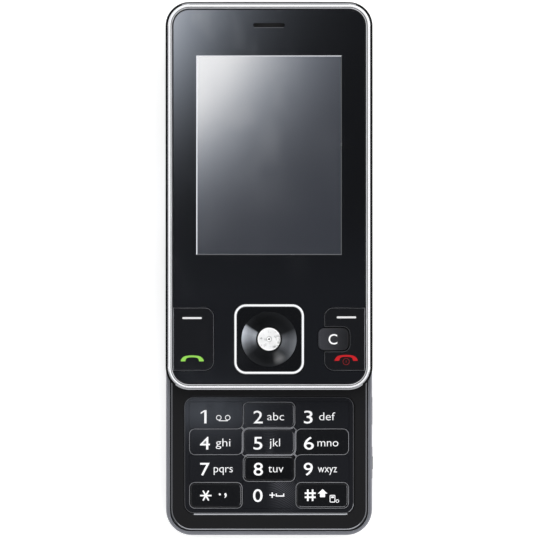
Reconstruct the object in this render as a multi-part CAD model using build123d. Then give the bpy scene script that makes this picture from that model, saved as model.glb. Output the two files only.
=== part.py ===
from build123d import *
import os

# A slider phone, drawn open and lying on its back. X runs across it, Y runs from the keypad end
# to the screen end and Z points out of the screen. The origin is the centre of the keypad half's
# flat back. Every size is in millimetres.

# Overall sizes. The keypad half's length is that of what lies in it, end to end.
SLIDE_WIDTH = 51.0
SLIDE_HEIGHT = 6.5
SLIDE_CORNER = 5.9
BASE_STEP = 0.1
BASE_HEIGHT = 8.0
BASE_CORNER = 6.35
TRAVEL = 35.7
RUNNING_GAP = 0.3
BATTERY_LENGTH = 50.0
BATTERY_FOOT = 5.3
CONTACT_SPACE = 2.8
SIM_LENGTH = 15.0
BAY_END_SPACE = 1.7
CAMERA_BAY = 20.8
BASE_WIDTH = SLIDE_WIDTH - 2 * BASE_STEP
BASE_LENGTH = BATTERY_FOOT + BATTERY_LENGTH + CONTACT_SPACE + SIM_LENGTH + BAY_END_SPACE + CAMERA_BAY
SLIDE_LENGTH = BASE_LENGTH + 2 * BASE_STEP
BASE_END = -BASE_LENGTH / 2

# How far cuts run past a face, how far joined shapes sink into each other, and the gaps between pieces
CUT = 1.0
SINK = 0.1
FIT = 0.12
CLOSE_FIT = 0.05
REST_GAP = 0.1
HAIR_GAP = 0.02

# Keypad half: housings
BASE_WALL = 1.8
BACK_FLOOR = 1.0
BACK_ROUND = 2.2
BAND_WIDTH = 0.95
BAND_DROP = 0.3
BAND_ROUND = 0.4
PANEL_GROOVE = 0.35
PANEL_THICKNESS = 0.8
PANEL_SKIRT = 0.8
PANEL_SEAT = 1.6
PANEL_BEVEL = 0.25
PORT_COVER_MARGIN = 0.3
MIC_HOLE_RADIUS = 0.4
COVER_RIM = 2.6
COVER_GAP = 0.1
BAY_FLOOR = 0.4
BAY_WALL = 1.0

# Keypad
KEYPAD_SIDE = 4.55
KEYPAD_FOOT = 5.4
KEYPAD_LENGTH = 28.6
KEYPAD_CORNER = 2.3
KEYPAD_DROP = 0.15
KEYPAD_BEVEL = 0.3
FIELD_BORDER = 1.1
CENTRE_COLUMN = 13.0
KEY_PITCH = 6.6
KEY_CORNER = 1.45
KEY_THICKNESS = 0.8
KEY_BEVEL = 0.12
KEY_TRAVEL = 0.25
KEY_GAP = 0.06
FRAME_FLANGE = 0.5
FRAME_FLANGE_THICKNESS = 0.14
MAT_THICKNESS = 0.3
MAT_LENGTH = 27.6
MAT_SHIFT = 0.4
MAT_NUB = 1.6
DOME_RADIUS = 2.0
DOME_HEIGHT = 0.17
FILM_LENGTH = 26.6
FILM_THICKNESS = 0.08

# Side keys, port cover and volume key
SIDE_KEY_LENGTH = 6.8
SIDE_KEY_CENTRE = -17.2
CAMERA_KEY_LENGTH = 7.8
CAMERA_KEY_CENTRE = -30.0
CAMERA_KEY_CREST = 3.1
VOLUME_KEY_LENGTH = 16.0
VOLUME_KEY_CENTRE = 16.0
SIDE_KEY_HEIGHT = 2.2
SIDE_KEY_LEVEL = 4.1
SIDE_KEY_PROUD = 0.1
CAMERA_CREST_PROUD = 0.1
SIDE_KEY_FLANGE = 0.4
PRESS_KEY_PLAY = 0.1
VOLUME_KEY_PLAY = 0.35
PORT_COVER_LENGTH = 12.0
PORT_COVER_CENTRE = -28.0
PORT_COVER_THICKNESS = 1.0
CONNECTOR_LENGTH = 9.6
CONNECTOR_HEIGHT = 2.3
CONNECTOR_DEPTH = 5.4
CONNECTOR_WALL = 0.3
TONGUE_THICKNESS = 0.5

# Keypad half: what is inside
BOARD_SIDE = 6.2
BOARD_END = 3.4
FILM_INSET = 0.5
BOARD_THICKNESS = 0.6
SHIELD_SIDE = 3.7
SHIELD_END = 2.4
SHIELD_SPACE = 2.2
SOCKET_SPACE = 7.0
SLOT_SPACE = 2.8
SHIELD_HEIGHT = 0.95
SHIELD_SHEET = 0.25
SOCKET_DISTANCE = 4.4
SOCKET_HEIGHT = 0.9
SWITCH_LENGTH = 3.0
SWITCH_DEPTH = 2.4
SWITCH_SPREAD = 4.0
BATTERY_SIDE = 8.4
BATTERY_THICKNESS = 3.8
SIM_WIDTH = 25.0
SIM_THICKNESS = 0.8
SIM_CUT = 3.0
TRAY_FLOOR = 0.3
TRAY_ROOF = 0.2
TRAY_WALL = 0.4
CAMERA_DISTANCE = 9.5
CAMERA_SIDE = 8.5
CAMERA_BEZEL_RADIUS = 5.2
CAMERA_LENS_RADIUS = 3.4
CAMERA_BARREL_RADIUS = 2.8
CAMERA_RECESS = 0.05
CAMERA_WINDOW_RECESS = 0.3
SPEAKER_SIDE = 11.9
SPEAKER_WIDTH = 11.0
SPEAKER_LENGTH = 15.0
SPEAKER_HEIGHT = 3.2
SPEAKER_SLOT_LENGTH = 9.0
SPEAKER_SLOT_WIDTH = 0.7
SPEAKER_SLOT_PITCH = 1.5
MOTOR_SIDE = 10.4
MOTOR_RADIUS = 4.5
MOTOR_HEIGHT = 2.6
ANTENNA_LENGTH = 28.0
ANTENNA_SHEET = 0.3
MICROPHONE_RADIUS = 1.2
MICROPHONE_HEIGHT = 0.9
BOSS_RADIUS = 1.4
SCREW_RADIUS = 0.7
SCREW_HEAD_RADIUS = 1.25
SCREW_HEAD_HEIGHT = 0.5
SCREW_SLOT_WIDTH = 0.3
SMALL_HEAD_RADIUS = 1.15
SMALL_HEAD_HEIGHT = 0.3
SMALL_SCREW_RADIUS = 0.65

# Slide mechanism
RAIL_SIDE = 6.5
RAIL_END = 8.05
RAIL_SHEET = 0.4
RAIL_LIP = 2.2
CARRIAGE_SHEET = 0.5
SHOE_CLEARANCE = 0.075
RAIL_SPACE = 2.2
WEB_GAP = 0.9
WING_INSET = 0.5
END_STOP = 0.3
POST_HEIGHT = 1.25
SLIDE_FLOOR = 0.8
SLIDE_INNER_WALL = 0.6
RECESS_GAP = 0.2
RECESS_WALL = 0.7
SPRING_WIRE = 0.25
SPRING_COIL_RADIUS = 1.7
SPRING_COIL_HEIGHT = 1.05
SPRING_BOW = 3.0
SPRING_BASE_SIDE = 10.5
SPRING_RAIL_SIDE = 5.6
POST_RADIUS = 0.6
EYE_RADIUS = 1.2
LEG_RADIUS = 0.2
FLEX_SPRING_GAP = 3.0
FLEX_THICKNESS = 0.15
FLEX_BEND = 0.5
FLEX_SLOT_Y = 2.0
FLEX_OPEN_REACH = 11.2
FLEX_SPARE = 3.5
FLEX_SLOT_MARGIN = 0.65

# Screen half: housings and window
SLIDE_WALL = 1.3
SLIDE_BACK_ROUND = 1.0
TRIM_INSET = 0.3
TRIM_WIDTH = 1.0
TRIM_HEIGHT = 1.6
LIP_GAP = 0.05
LIP_WIDTH = 0.45
LIP_DROP = 0.45
SLIDE_SKIRT = 1.0
DECK_THICKNESS = 0.4
WINDOW_GAP = 0.05
WINDOW_DROP = 0.2
WINDOW_THICKNESS = 1.2
WINDOW_BEVEL = 0.12
SCREEN_SIDE = 7.6
SCREEN_LENGTH = 49.1
SCREEN_HEAD = 13.2
PANEL_MARGIN_X = 2.1
PANEL_MARGIN_TOP = 2.3
PANEL_MARGIN_FOOT = 4.6
LCD_GLASS = 0.7
LCD_BACKLIGHT = 0.7
EARPIECE_HEAD = 5.7
EARPIECE_SLOT_LENGTH = 7.8
EARPIECE_SLOT_WIDTH = 1.0
EARPIECE_LENGTH = 12.0
EARPIECE_WIDTH = 5.0
MESH_MARGIN = 0.6
MESH_SHEET = 0.2

# Screen half: keys
CLUSTER_FOOT = 12.75
ROCKER_LENGTH = 15.5
ROCKER_WIDTH = 10.0
ROCKER_CORNER = 2.3
ROCKER_FOOT_INSET = 0.6
CLEAR_WIDTH = 7.5
CLEAR_LENGTH = 5.5
CLEAR_SHIFT = 2.25
CLEAR_CORNER = 1.5
CLEAR_PROUD = 0.15
CLEAR_RING = 0.3
NAV_SIDE = 17.4
NAV_CORNER = 2.8
NAV_RIM_WIDTH = 0.8
NAV_DISC_RADIUS = 6.8
NAV_PAD_RADIUS = 4.5
PAD_SIDE = 3.6
PAD_RING_GAP = 1.1
NUB_SIDE = 6.6
NUB_Y = 5.0
OK_RADIUS = 2.85
OK_RING = 0.35
OK_DIMPLE_RADIUS = 1.2
OK_DIMPLE_RISE = 0.9
OK_STEM_RADIUS = 1.2
SLIDE_KEY_SKIRT = 0.3
SLIDE_BOARD_THICKNESS = 0.5
SLIDE_BOARD_FOOT = 1.0
SLIDE_BOARD_HEAD = 4.0
SLIDE_BOARD_SIDE = 3.0
BOARD_CORNER = 1.5
PAD_THICKNESS = 0.25

# Sizes across and insets from the screen half's outline
KEYPAD_WIDTH = BASE_WIDTH - 2 * KEYPAD_SIDE
BOARD_WIDTH = BASE_WIDTH - 2 * BOARD_SIDE
BOARD_LENGTH = BASE_LENGTH - 2 * BOARD_END
SHIELD_WIDTH = BOARD_WIDTH - 2 * SHIELD_SIDE
BATTERY_WIDTH = BASE_WIDTH - 2 * BATTERY_SIDE
SPEAKER_X = SPEAKER_SIDE - BASE_WIDTH / 2
MOTOR_X = BASE_WIDTH / 2 - MOTOR_SIDE
RAIL_WIDTH = SLIDE_WIDTH - 2 * RAIL_SIDE
SPRING_BASE_X = RAIL_WIDTH / 2 - SPRING_BASE_SIDE
SPRING_RAIL_X = RAIL_WIDTH / 2 - SPRING_RAIL_SIDE
FLEX_WIDTH = 2 * (SPRING_BASE_X - FLEX_SPRING_GAP)
SCREEN_WIDTH = SLIDE_WIDTH - 2 * SCREEN_SIDE
LIP_INSET = TRIM_INSET + TRIM_WIDTH + LIP_GAP
WINDOW_INSET = LIP_INSET + LIP_WIDTH + WINDOW_GAP
ROCKER_OUTER_X = SLIDE_WIDTH / 2 - LIP_INSET - LIP_WIDTH - REST_GAP
ROCKER_INNER_X = ROCKER_OUTER_X - ROCKER_WIDTH
CLEAR_X = ROCKER_INNER_X + CLEAR_SHIFT

# Heights in the keypad half, from the flat back up
BAND_TOP = BASE_HEIGHT - BAND_DROP
PANEL_BOTTOM = BASE_HEIGHT - PANEL_THICKNESS
SEAT_LEVEL = BASE_HEIGHT - PANEL_SEAT
KEYPAD_TOP = BASE_HEIGHT - KEYPAD_DROP
KEY_BOTTOM = KEYPAD_TOP - KEY_THICKNESS
MAT_TOP = KEY_BOTTOM - KEY_TRAVEL - CLOSE_FIT
MAT_BOTTOM = MAT_TOP - MAT_THICKNESS
DOME_TOP = MAT_BOTTOM - REST_GAP
BOARD_TOP = DOME_TOP - DOME_HEIGHT - FILM_THICKNESS
BOARD_BOTTOM = BOARD_TOP - BOARD_THICKNESS
BAY_TOP = BOARD_BOTTOM - REST_GAP
BAY_BOTTOM = BAY_TOP - BAY_FLOOR
INNER_BOTTOM = BACK_FLOOR + REST_GAP

# Heights in the screen half
SLIDE_BOTTOM = BASE_HEIGHT + RUNNING_GAP
PHONE_TOP = SLIDE_BOTTOM + SLIDE_HEIGHT
WINDOW_TOP = PHONE_TOP - WINDOW_DROP
WINDOW_BOTTOM = WINDOW_TOP - WINDOW_THICKNESS
DECK_TOP = WINDOW_BOTTOM - CLOSE_FIT
DECK_BOTTOM = DECK_TOP - DECK_THICKNESS
LIP_TOP = PHONE_TOP - LIP_DROP
TRIM_BOTTOM = PHONE_TOP - TRIM_HEIGHT
RAIL_ROOF = SLIDE_BOTTOM + RAIL_SPACE
SLIDE_INSIDE = RAIL_ROOF + SLIDE_INNER_WALL
SLIDE_FLOOR_TOP = SLIDE_BOTTOM + SLIDE_FLOOR
SLIDE_BOARD_BOTTOM = SLIDE_INSIDE + REST_GAP
SLIDE_BOARD_TOP = SLIDE_BOARD_BOTTOM + SLIDE_BOARD_THICKNESS
LCD_TOP = WINDOW_BOTTOM - REST_GAP
LCD_MIDDLE = LCD_TOP - LCD_GLASS
LCD_BOTTOM = LCD_MIDDLE - LCD_BACKLIGHT
SLIDE_KEY_BOTTOM = WINDOW_BOTTOM - SLIDE_KEY_SKIRT
PAD_TOP = SLIDE_KEY_BOTTOM - 0.5
PAD_BOTTOM = PAD_TOP - PAD_THICKNESS

# Heights in the slide
RAIL_BASE = RAIL_ROOF - CLOSE_FIT - RAIL_SHEET
LIP_BOTTOM = SLIDE_BOTTOM + REST_GAP
CHANNEL_LOW = LIP_BOTTOM + RAIL_SHEET
SHOE_THICKNESS = (RAIL_BASE - CHANNEL_LOW - CARRIAGE_SHEET) / 2 - SHOE_CLEARANCE

# Places along Y
BATTERY_Y = BASE_END + BATTERY_FOOT + BATTERY_LENGTH / 2
BATTERY_TOP_Y = BATTERY_Y + BATTERY_LENGTH / 2
SIM_Y = BATTERY_TOP_Y + CONTACT_SPACE
COVER_TOP = SIM_Y + SIM_LENGTH + BAY_END_SPACE
CAMERA_Y = COVER_TOP + CAMERA_DISTANCE
KEYPAD_CENTRE = BASE_END + KEYPAD_FOOT + KEYPAD_LENGTH / 2
SLIDE_Y = TRAVEL
SLIDE_TOP_Y = SLIDE_Y + SLIDE_LENGTH / 2
SCREEN_Y = SLIDE_TOP_Y - SCREEN_HEAD - SCREEN_LENGTH / 2
SPEAKING_Y = SLIDE_TOP_Y - EARPIECE_HEAD
CLUSTER_Y = SLIDE_Y - SLIDE_LENGTH / 2 + CLUSTER_FOOT
RAIL_LOW = SLIDE_Y - SLIDE_LENGTH / 2 + RAIL_END
RAIL_HIGH = SLIDE_TOP_Y - RAIL_END
CARRIAGE_LOW = RAIL_LOW
CARRIAGE_HIGH = RAIL_HIGH - TRAVEL
SLIDE_FLEX_Y = FLEX_SLOT_Y + FLEX_OPEN_REACH
FLEX_RUN = TRAVEL - FLEX_OPEN_REACH + FLEX_SPARE
FIELD_WIDTH = KEYPAD_WIDTH - 2 * FIELD_BORDER
FIELD_LENGTH = 4 * KEY_PITCH


def plate(width, length, corner, low, high, x=0.0, y=0.0):
    """A rounded rectangular plate between two heights."""
    return Pos(x, y, low) * extrude(RectangleRounded(width, length, corner), high - low)


def block(x0, x1, y0, y1, z0, z1):
    """A plain block between its limits."""
    return Pos((x0 + x1) / 2, (y0 + y1) / 2, (z0 + z1) / 2) * Box(x1 - x0, y1 - y0, z1 - z0)


def rod(radius, low, high, x=0.0, y=0.0):
    """An upright cylinder between two heights."""
    return Pos(x, y, (low + high) / 2) * Cylinder(radius, high - low)


def outer_edges(shape, height):
    """The edges of a shape that lie flat at one height."""
    return shape.edges().filter_by_position(Axis.Z, height - 0.001, height + 0.001)


def base_plate(inset, low, high):
    """A plate with the keypad half's outline, drawn in by an inset."""
    return plate(BASE_WIDTH - 2 * inset, BASE_LENGTH - 2 * inset, BASE_CORNER - inset, low, high)


def slide_plate(inset, low, high):
    """A plate with the screen half's outline, drawn in by an inset."""
    width, length = SLIDE_WIDTH - 2 * inset, SLIDE_LENGTH - 2 * inset
    return plate(width, length, SLIDE_CORNER - inset, low, high, 0, SLIDE_Y)


def side_slot(side, centre, length, height, depth, clearance=0.0):
    """The space of a key in a side wall, from outside the wall to a depth inside its face."""
    face = side * BASE_WIDTH / 2
    x0, x1 = sorted((face + side * CUT, face - side * depth))
    y0, y1 = centre - length / 2 - clearance, centre + length / 2 + clearance
    z0, z1 = SIDE_KEY_LEVEL - height / 2 - clearance, SIDE_KEY_LEVEL + height / 2 + clearance
    return block(x0, x1, y0, y1, z0, z1)


def flex_slot(y, low, high):
    """The slot that the ribbon passes through, cut from below one height to above another."""
    half_x, half_y = FLEX_WIDTH / 2 + FLEX_SLOT_MARGIN, FLEX_SLOT_MARGIN
    return block(-half_x, half_x, y - half_y, y + half_y, low - CUT, high + CUT)


def base_envelope():
    shape = base_plate(0, 0, BAND_TOP)
    shape = fillet(outer_edges(shape, 0), BACK_ROUND)
    return fillet(outer_edges(shape, BAND_TOP), BAND_ROUND)


def housing_screw_points():
    x = BASE_WIDTH / 2 - BASE_WALL - BOSS_RADIUS - 0.9
    y_low = BASE_END + BASE_WALL + BOSS_RADIUS + 1.2
    return [(x, COVER_TOP - 2), (-x, COVER_TOP - 2), (x, y_low), (-x, y_low)]


def carriage_screw_points():
    return [(x, y) for x in (-12.5, 12.5) for y in (CARRIAGE_LOW + 3, CARRIAGE_HIGH - 3)]


def rear_housing():
    """The rear shell, whose rim is the grey band round the keypad half."""
    inner = BASE_WIDTH / 2 - BASE_WALL
    shape = base_envelope()
    shape -= base_plate(BASE_WALL, BACK_FLOOR, BASE_HEIGHT)
    shape -= base_plate(BAND_WIDTH, SEAT_LEVEL, BASE_HEIGHT)
    shape -= block(-BASE_WIDTH, BASE_WIDTH, BASE_END - CUT, COVER_TOP, -CUT, COVER_RIM)
    floor = base_plate(BASE_WALL - SINK, BAY_BOTTOM, BAY_TOP)
    shape += floor & block(-BASE_WIDTH, BASE_WIDTH, BASE_END, COVER_TOP, 0, BASE_HEIGHT)
    shape += block(-inner, inner, COVER_TOP, COVER_TOP + BAY_WALL, BACK_FLOOR - SINK, BAY_TOP)
    connector_x = -BASE_WIDTH / 2 + PORT_COVER_THICKNESS
    shape -= block(
        connector_x - CUT, connector_x + CONNECTOR_DEPTH + 0.9,
        PORT_COVER_CENTRE - CONNECTOR_LENGTH / 2 - FIT, PORT_COVER_CENTRE + CONNECTOR_LENGTH / 2 + FIT,
        SIDE_KEY_LEVEL - CONNECTOR_HEIGHT / 2 - FIT, BAY_TOP + SINK,
    )
    cover_height = SIDE_KEY_HEIGHT + 2 * PORT_COVER_MARGIN
    shape -= side_slot(-1, PORT_COVER_CENTRE, PORT_COVER_LENGTH, cover_height, PORT_COVER_THICKNESS, CLOSE_FIT)
    shape -= side_slot(1, SIDE_KEY_CENTRE, SIDE_KEY_LENGTH, SIDE_KEY_HEIGHT, BASE_WALL + CUT, FIT)
    shape -= side_slot(1, CAMERA_KEY_CENTRE, CAMERA_KEY_LENGTH, SIDE_KEY_HEIGHT, BASE_WALL + CUT, FIT)
    shape -= side_slot(-1, VOLUME_KEY_CENTRE, VOLUME_KEY_LENGTH, SIDE_KEY_HEIGHT, BASE_WALL + CUT, FIT)
    shape -= rod(CAMERA_BEZEL_RADIUS + CLOSE_FIT, -CUT, BACK_FLOOR + SINK, 0, CAMERA_Y)
    for row in range(-2, 3):
        y = CAMERA_Y + SPEAKER_SLOT_PITCH * row
        shape -= plate(SPEAKER_SLOT_LENGTH, SPEAKER_SLOT_WIDTH, 0.34, -CUT, BACK_FLOOR + SINK, SPEAKER_X, y)
    for x, y in housing_screw_points():
        shape -= rod(SCREW_RADIUS + FIT, BAY_BOTTOM - CUT, BAY_TOP + CUT, x, y)
    mic_hole = Rot(90, 0, 0) * Cylinder(MIC_HOLE_RADIUS, 2 * BASE_WALL + CUT)
    mic_hole = Pos(0, BASE_END, (BAY_TOP + SEAT_LEVEL) / 2) * mic_hole
    return shape - mic_hole


def battery_cover():
    """The back cover, with the lower part of the side walls."""
    top_y, top_z = COVER_TOP - COVER_GAP, COVER_RIM - COVER_GAP
    shape = base_envelope() & block(-BASE_WIDTH, BASE_WIDTH, BASE_END - CUT, top_y, -CUT, top_z)
    return shape - base_plate(BASE_WALL, BACK_FLOOR, BASE_HEIGHT)


def front_housing():
    """The matt front panel round the keypad, with its skirt and screw bosses."""
    inset = BAND_WIDTH + PANEL_GROOVE
    shape = base_plate(inset, SEAT_LEVEL, BASE_HEIGHT)
    shape = chamfer(outer_edges(shape, BASE_HEIGHT), PANEL_BEVEL)
    shape -= base_plate(inset + PANEL_SKIRT, SEAT_LEVEL - CUT, PANEL_BOTTOM)
    for x, y in housing_screw_points():
        shape += rod(BOSS_RADIUS, BAY_TOP + CLOSE_FIT, PANEL_BOTTOM + SINK, x, y)
        shape -= rod(SCREW_RADIUS + HAIR_GAP, BAY_TOP - CUT, PANEL_BOTTOM - 0.2, x, y)
    width, length = KEYPAD_WIDTH + 2 * FIT, KEYPAD_LENGTH + 2 * FIT
    corner = KEYPAD_CORNER + FIT
    opening = plate(width, length, corner, PANEL_BOTTOM - CUT, BASE_HEIGHT + CUT, 0, KEYPAD_CENTRE)
    mouth = extrude(RectangleRounded(width, length, corner), KEYPAD_BEVEL + SINK, taper=-45)
    shape -= opening
    shape -= Pos(0, KEYPAD_CENTRE, BASE_HEIGHT - KEYPAD_BEVEL) * mouth
    shape -= flex_slot(FLEX_SLOT_Y, PANEL_BOTTOM, BASE_HEIGHT)
    for x, y in carriage_screw_points():
        shape -= rod(SCREW_RADIUS, PANEL_BOTTOM - CUT, BASE_HEIGHT + CUT, x, y)
    return shape


# The keys: name, column (-1, 0, 1), row (0 at the top), and which of the corners are rounded or flared.
# A flared corner fills what the two rounded corners beside it leave. A corner is (x side, y side),
# where 1 is right or up.
KEYS = [
    ("key_1", -1, 0, {(1, -1)}, set()),
    ("key_2", 0, 0, {(-1, 1), (1, 1), (1, -1)}, {(-1, -1)}),
    ("key_3", 1, 0, set(), {(-1, -1)}),
    ("key_4", -1, 1, {(-1, 1), (-1, -1), (1, -1)}, {(1, 1)}),
    ("key_5", 0, 1, {(-1, 1), (1, -1)}, {(1, 1), (-1, -1)}),
    ("key_6", 1, 1, {(-1, 1), (1, 1), (1, -1)}, {(-1, -1)}),
    ("key_7", -1, 2, set(), {(1, 1), (1, -1)}),
    ("key_8", 0, 2, {(-1, 1), (-1, -1), (1, -1)}, {(1, 1)}),
    ("key_9", 1, 2, {(-1, 1)}, {(-1, -1)}),
    ("key_star", -1, 3, {(-1, 1), (-1, -1), (1, 1), (1, -1)}, set()),
    ("key_0", 0, 3, set(), {(-1, 1), (1, 1)}),
    ("key_hash", 1, 3, {(-1, 1), (1, 1), (-1, -1), (1, -1)}, set()),
]
OUTLINED_KEYS = {"key_2", "key_4", "key_5", "key_6", "key_8", "key_star", "key_hash"}


def key_cell(column, row):
    """The limits of a key's cell, between the middles of the gaps round it."""
    half = CENTRE_COLUMN / 2
    x0, x1 = {-1: (-FIELD_WIDTH / 2, -half), 0: (-half, half), 1: (half, FIELD_WIDTH / 2)}[column]
    y1 = KEYPAD_CENTRE + FIELD_LENGTH / 2 - row * KEY_PITCH
    return x0, x1, y1 - KEY_PITCH, y1


def upward(points):
    """The points in the order that makes their face look up."""
    pairs = zip(points, points[1:] + points[:1])
    return points if sum(a[0] * b[1] - b[0] * a[1] for a, b in pairs) > 0 else points[::-1]


def corner_piece(x, y, sx, sy, half_x=None, half_y=None):
    """What a rounded corner leaves of its square, or the half of that towards one side."""
    r = KEY_CORNER
    points = [(x, y), (x + sx * r, y), (x + sx * r, y + sy * r), (x, y + sy * r)]
    if half_x is not None:
        points = [(x, y), (x + sx * r, y + sy * r), (x + half_x * sx * r, y + half_y * sy * r)]
    return Polygon(*upward(points), align=None) - Pos(x + sx * r, y + sy * r) * Circle(r)


def key_outline(column, row, rounded, flared):
    """A key's full outline, before the gap is taken off."""
    x0, x1, y0, y1 = key_cell(column, row)
    face = Pos((x0 + x1) / 2, (y0 + y1) / 2) * Rectangle(x1 - x0, y1 - y0)
    for sx, sy in sorted(rounded):
        x, y = (x1 if sx > 0 else x0), (y1 if sy > 0 else y0)
        face -= corner_piece(x, y, -sx, -sy)
    for sx, sy in sorted(flared):
        x, y = (x1 if sx > 0 else x0), (y1 if sy > 0 else y0)
        face += corner_piece(x, y, sx, -sy, 0, 1)
        face += corner_piece(x, y, -sx, sy, 1, 0)
    return face


def key_cap(name, column, row, rounded, flared):
    face = offset(key_outline(column, row, rounded, flared), amount=-KEY_GAP)
    cap = Pos(0, 0, KEY_BOTTOM) * extrude(face, KEY_THICKNESS)
    if name in OUTLINED_KEYS:
        cap = chamfer(outer_edges(cap, KEYPAD_TOP), KEY_BEVEL)
    return cap


def keypad_frame():
    """The border sheet round the twelve keys, with a thin flange under the front panel."""
    low = PANEL_BOTTOM - FRAME_FLANGE_THICKNESS
    width, length = KEYPAD_WIDTH + 2 * FRAME_FLANGE, KEYPAD_LENGTH + 2 * FRAME_FLANGE
    shape = plate(width, length, KEYPAD_CORNER + FRAME_FLANGE, low, PANEL_BOTTOM - HAIR_GAP, 0, KEYPAD_CENTRE)
    raised = plate(KEYPAD_WIDTH, KEYPAD_LENGTH, KEYPAD_CORNER, low, KEYPAD_TOP, 0, KEYPAD_CENTRE)
    shape += chamfer(outer_edges(raised, KEYPAD_TOP), KEY_BEVEL)
    field = None
    for _, column, row, rounded, flared in KEYS:
        face = key_outline(column, row, rounded, flared)
        field = face if field is None else field + face
    return shape - Pos(0, 0, low - CUT) * extrude(field, BASE_HEIGHT)


def key_centre(column, row):
    x0, x1, y0, y1 = key_cell(column, row)
    return (x0 + x1) / 2, (y0 + y1) / 2


def keypad_mat():
    """The rubber mat, with a nub under each key."""
    shape = plate(KEYPAD_WIDTH, MAT_LENGTH, KEYPAD_CORNER, MAT_BOTTOM, MAT_TOP, 0, KEYPAD_CENTRE + MAT_SHIFT)
    for _, column, row, _, _ in KEYS:
        x, y = key_centre(column, row)
        shape += rod(MAT_NUB / 2, DOME_TOP + HAIR_GAP, MAT_BOTTOM + SINK, x, y)
    return shape


def dome_sheet():
    """A film on the board with a metal dome under each key."""
    film_top = BOARD_TOP + FILM_THICKNESS
    width, y = BOARD_WIDTH - 2 * FILM_INSET, KEYPAD_CENTRE + MAT_SHIFT
    film = plate(width, FILM_LENGTH, 1.0, BOARD_TOP, film_top, 0, y)
    pieces = [film]
    for _, column, row, _, _ in KEYS:
        x, y = key_centre(column, row)
        dome = Cone(DOME_RADIUS, DOME_RADIUS * 0.45, DOME_HEIGHT)
        pieces.append(Pos(x, y, film_top + DOME_HEIGHT / 2) * dome)
    return Compound(children=pieces)


def main_board():
    """The board with its flex socket, and the side keys' switches on their carrier under the bay's floor."""
    shape = plate(BOARD_WIDTH, BOARD_LENGTH, 2.0, BOARD_BOTTOM, BOARD_TOP)
    socket_y = FLEX_SLOT_Y + SOCKET_DISTANCE
    half = FLEX_WIDTH / 2
    shape += block(-half, half, socket_y - 1.0, socket_y + 1.0, BOARD_TOP - SINK, BOARD_TOP + SOCKET_HEIGHT)
    pieces = [shape]
    flange_x = BASE_WIDTH / 2 - BASE_WALL - VOLUME_KEY_PLAY - SIDE_KEY_FLANGE
    volume_low, volume_high = VOLUME_KEY_CENTRE - SWITCH_SPREAD, VOLUME_KEY_CENTRE + SWITCH_SPREAD
    switches = [(1, SIDE_KEY_CENTRE), (1, CAMERA_KEY_CENTRE), (-1, volume_low), (-1, volume_high)]
    for side, y in switches:
        x0, x1 = sorted((side * (flange_x - SWITCH_DEPTH), side * (flange_x - KEY_TRAVEL - REST_GAP)))
        half = SWITCH_LENGTH / 2
        pieces.append(block(x0, x1, y - half, y + half, SIDE_KEY_LEVEL - 0.7, BAY_BOTTOM - HAIR_GAP))
    return Compound(children=pieces)


def shield_cans():
    """Two pressed cans over the radio and the processor, open below."""
    cans = []
    top = BOARD_TOP + SHIELD_HEIGHT
    width = SHIELD_WIDTH - 2 * SHIELD_SHEET
    upper = (FLEX_SLOT_Y + SOCKET_SPACE, BOARD_LENGTH / 2 - SHIELD_END)
    lower = (KEYPAD_CENTRE + KEYPAD_LENGTH / 2 + SHIELD_SPACE, FLEX_SLOT_Y - SLOT_SPACE)
    for y0, y1 in (upper, lower):
        middle, length = (y0 + y1) / 2, y1 - y0
        outer = plate(SHIELD_WIDTH, length, 0.6, BOARD_TOP, top, 0, middle)
        inner = plate(width, length - 2 * SHIELD_SHEET, 0.35, BOARD_TOP - CUT, top - SHIELD_SHEET, 0, middle)
        cans.append(outer - inner)
    return Compound(children=cans)


def battery():
    top = INNER_BOTTOM + BATTERY_THICKNESS
    shape = plate(BATTERY_WIDTH, BATTERY_LENGTH, 1.5, INNER_BOTTOM, top, 0, BATTERY_Y)
    return fillet(shape.edges().filter_by(GeomType.LINE).filter_by(Axis.X), 0.3)


def battery_contacts():
    """Three spring fingers in a block at the battery's upper end."""
    y0 = BATTERY_TOP_Y + REST_GAP
    shape = block(-5, 5, y0 + 0.5, y0 + 2.2, INNER_BOTTOM + 1.2, BAY_BOTTOM - HAIR_GAP)
    for x in (-3, 0, 3):
        shape += block(x - 0.5, x + 0.5, y0, y0 + 0.5 + SINK, INNER_BOTTOM + 1.8, INNER_BOTTOM + 2.8)
    return shape


def sim_holder():
    """A thin sheet tray that holds the card against the bay's floor."""
    y1 = SIM_Y + SIM_LENGTH
    half = SIM_WIDTH / 2
    high = BAY_BOTTOM - HAIR_GAP
    low = high - SIM_THICKNESS - TRAY_ROOF - TRAY_FLOOR
    outer = block(-half - TRAY_WALL, half + TRAY_WALL, SIM_Y, y1, low, high)
    card_space = block(-half, half, SIM_Y - CUT, y1 - TRAY_WALL, low + TRAY_FLOOR, high - TRAY_ROOF)
    window = plate(14, 8, 1.0, low - CUT, low + TRAY_FLOOR + SINK, 0, SIM_Y + SIM_LENGTH / 2)
    return outer - card_space - window


def sim_card():
    """The card, a little short of its tray, with one corner cut."""
    y0 = SIM_Y + REST_GAP
    y1 = SIM_Y + SIM_LENGTH - TRAY_WALL - REST_GAP
    high = BAY_BOTTOM - TRAY_ROOF - CLOSE_FIT
    thickness = SIM_THICKNESS - CLOSE_FIT
    half = SIM_WIDTH / 2 - REST_GAP
    points = [(-half, y0), (half, y0), (half, y1), (-half + SIM_CUT, y1), (-half, y1 - SIM_CUT)]
    return Pos(0, 0, high - thickness) * extrude(Polygon(*points, align=None), thickness)


def camera_module():
    """A square module with its lens barrel behind the window."""
    body_low, high = BACK_FLOOR + 0.7, BOARD_BOTTOM - CLOSE_FIT
    shape = plate(CAMERA_SIDE, CAMERA_SIDE, 0.8, body_low, high, 0, CAMERA_Y)
    return shape + rod(CAMERA_BARREL_RADIUS, INNER_BOTTOM, body_low + SINK, 0, CAMERA_Y)


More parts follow.
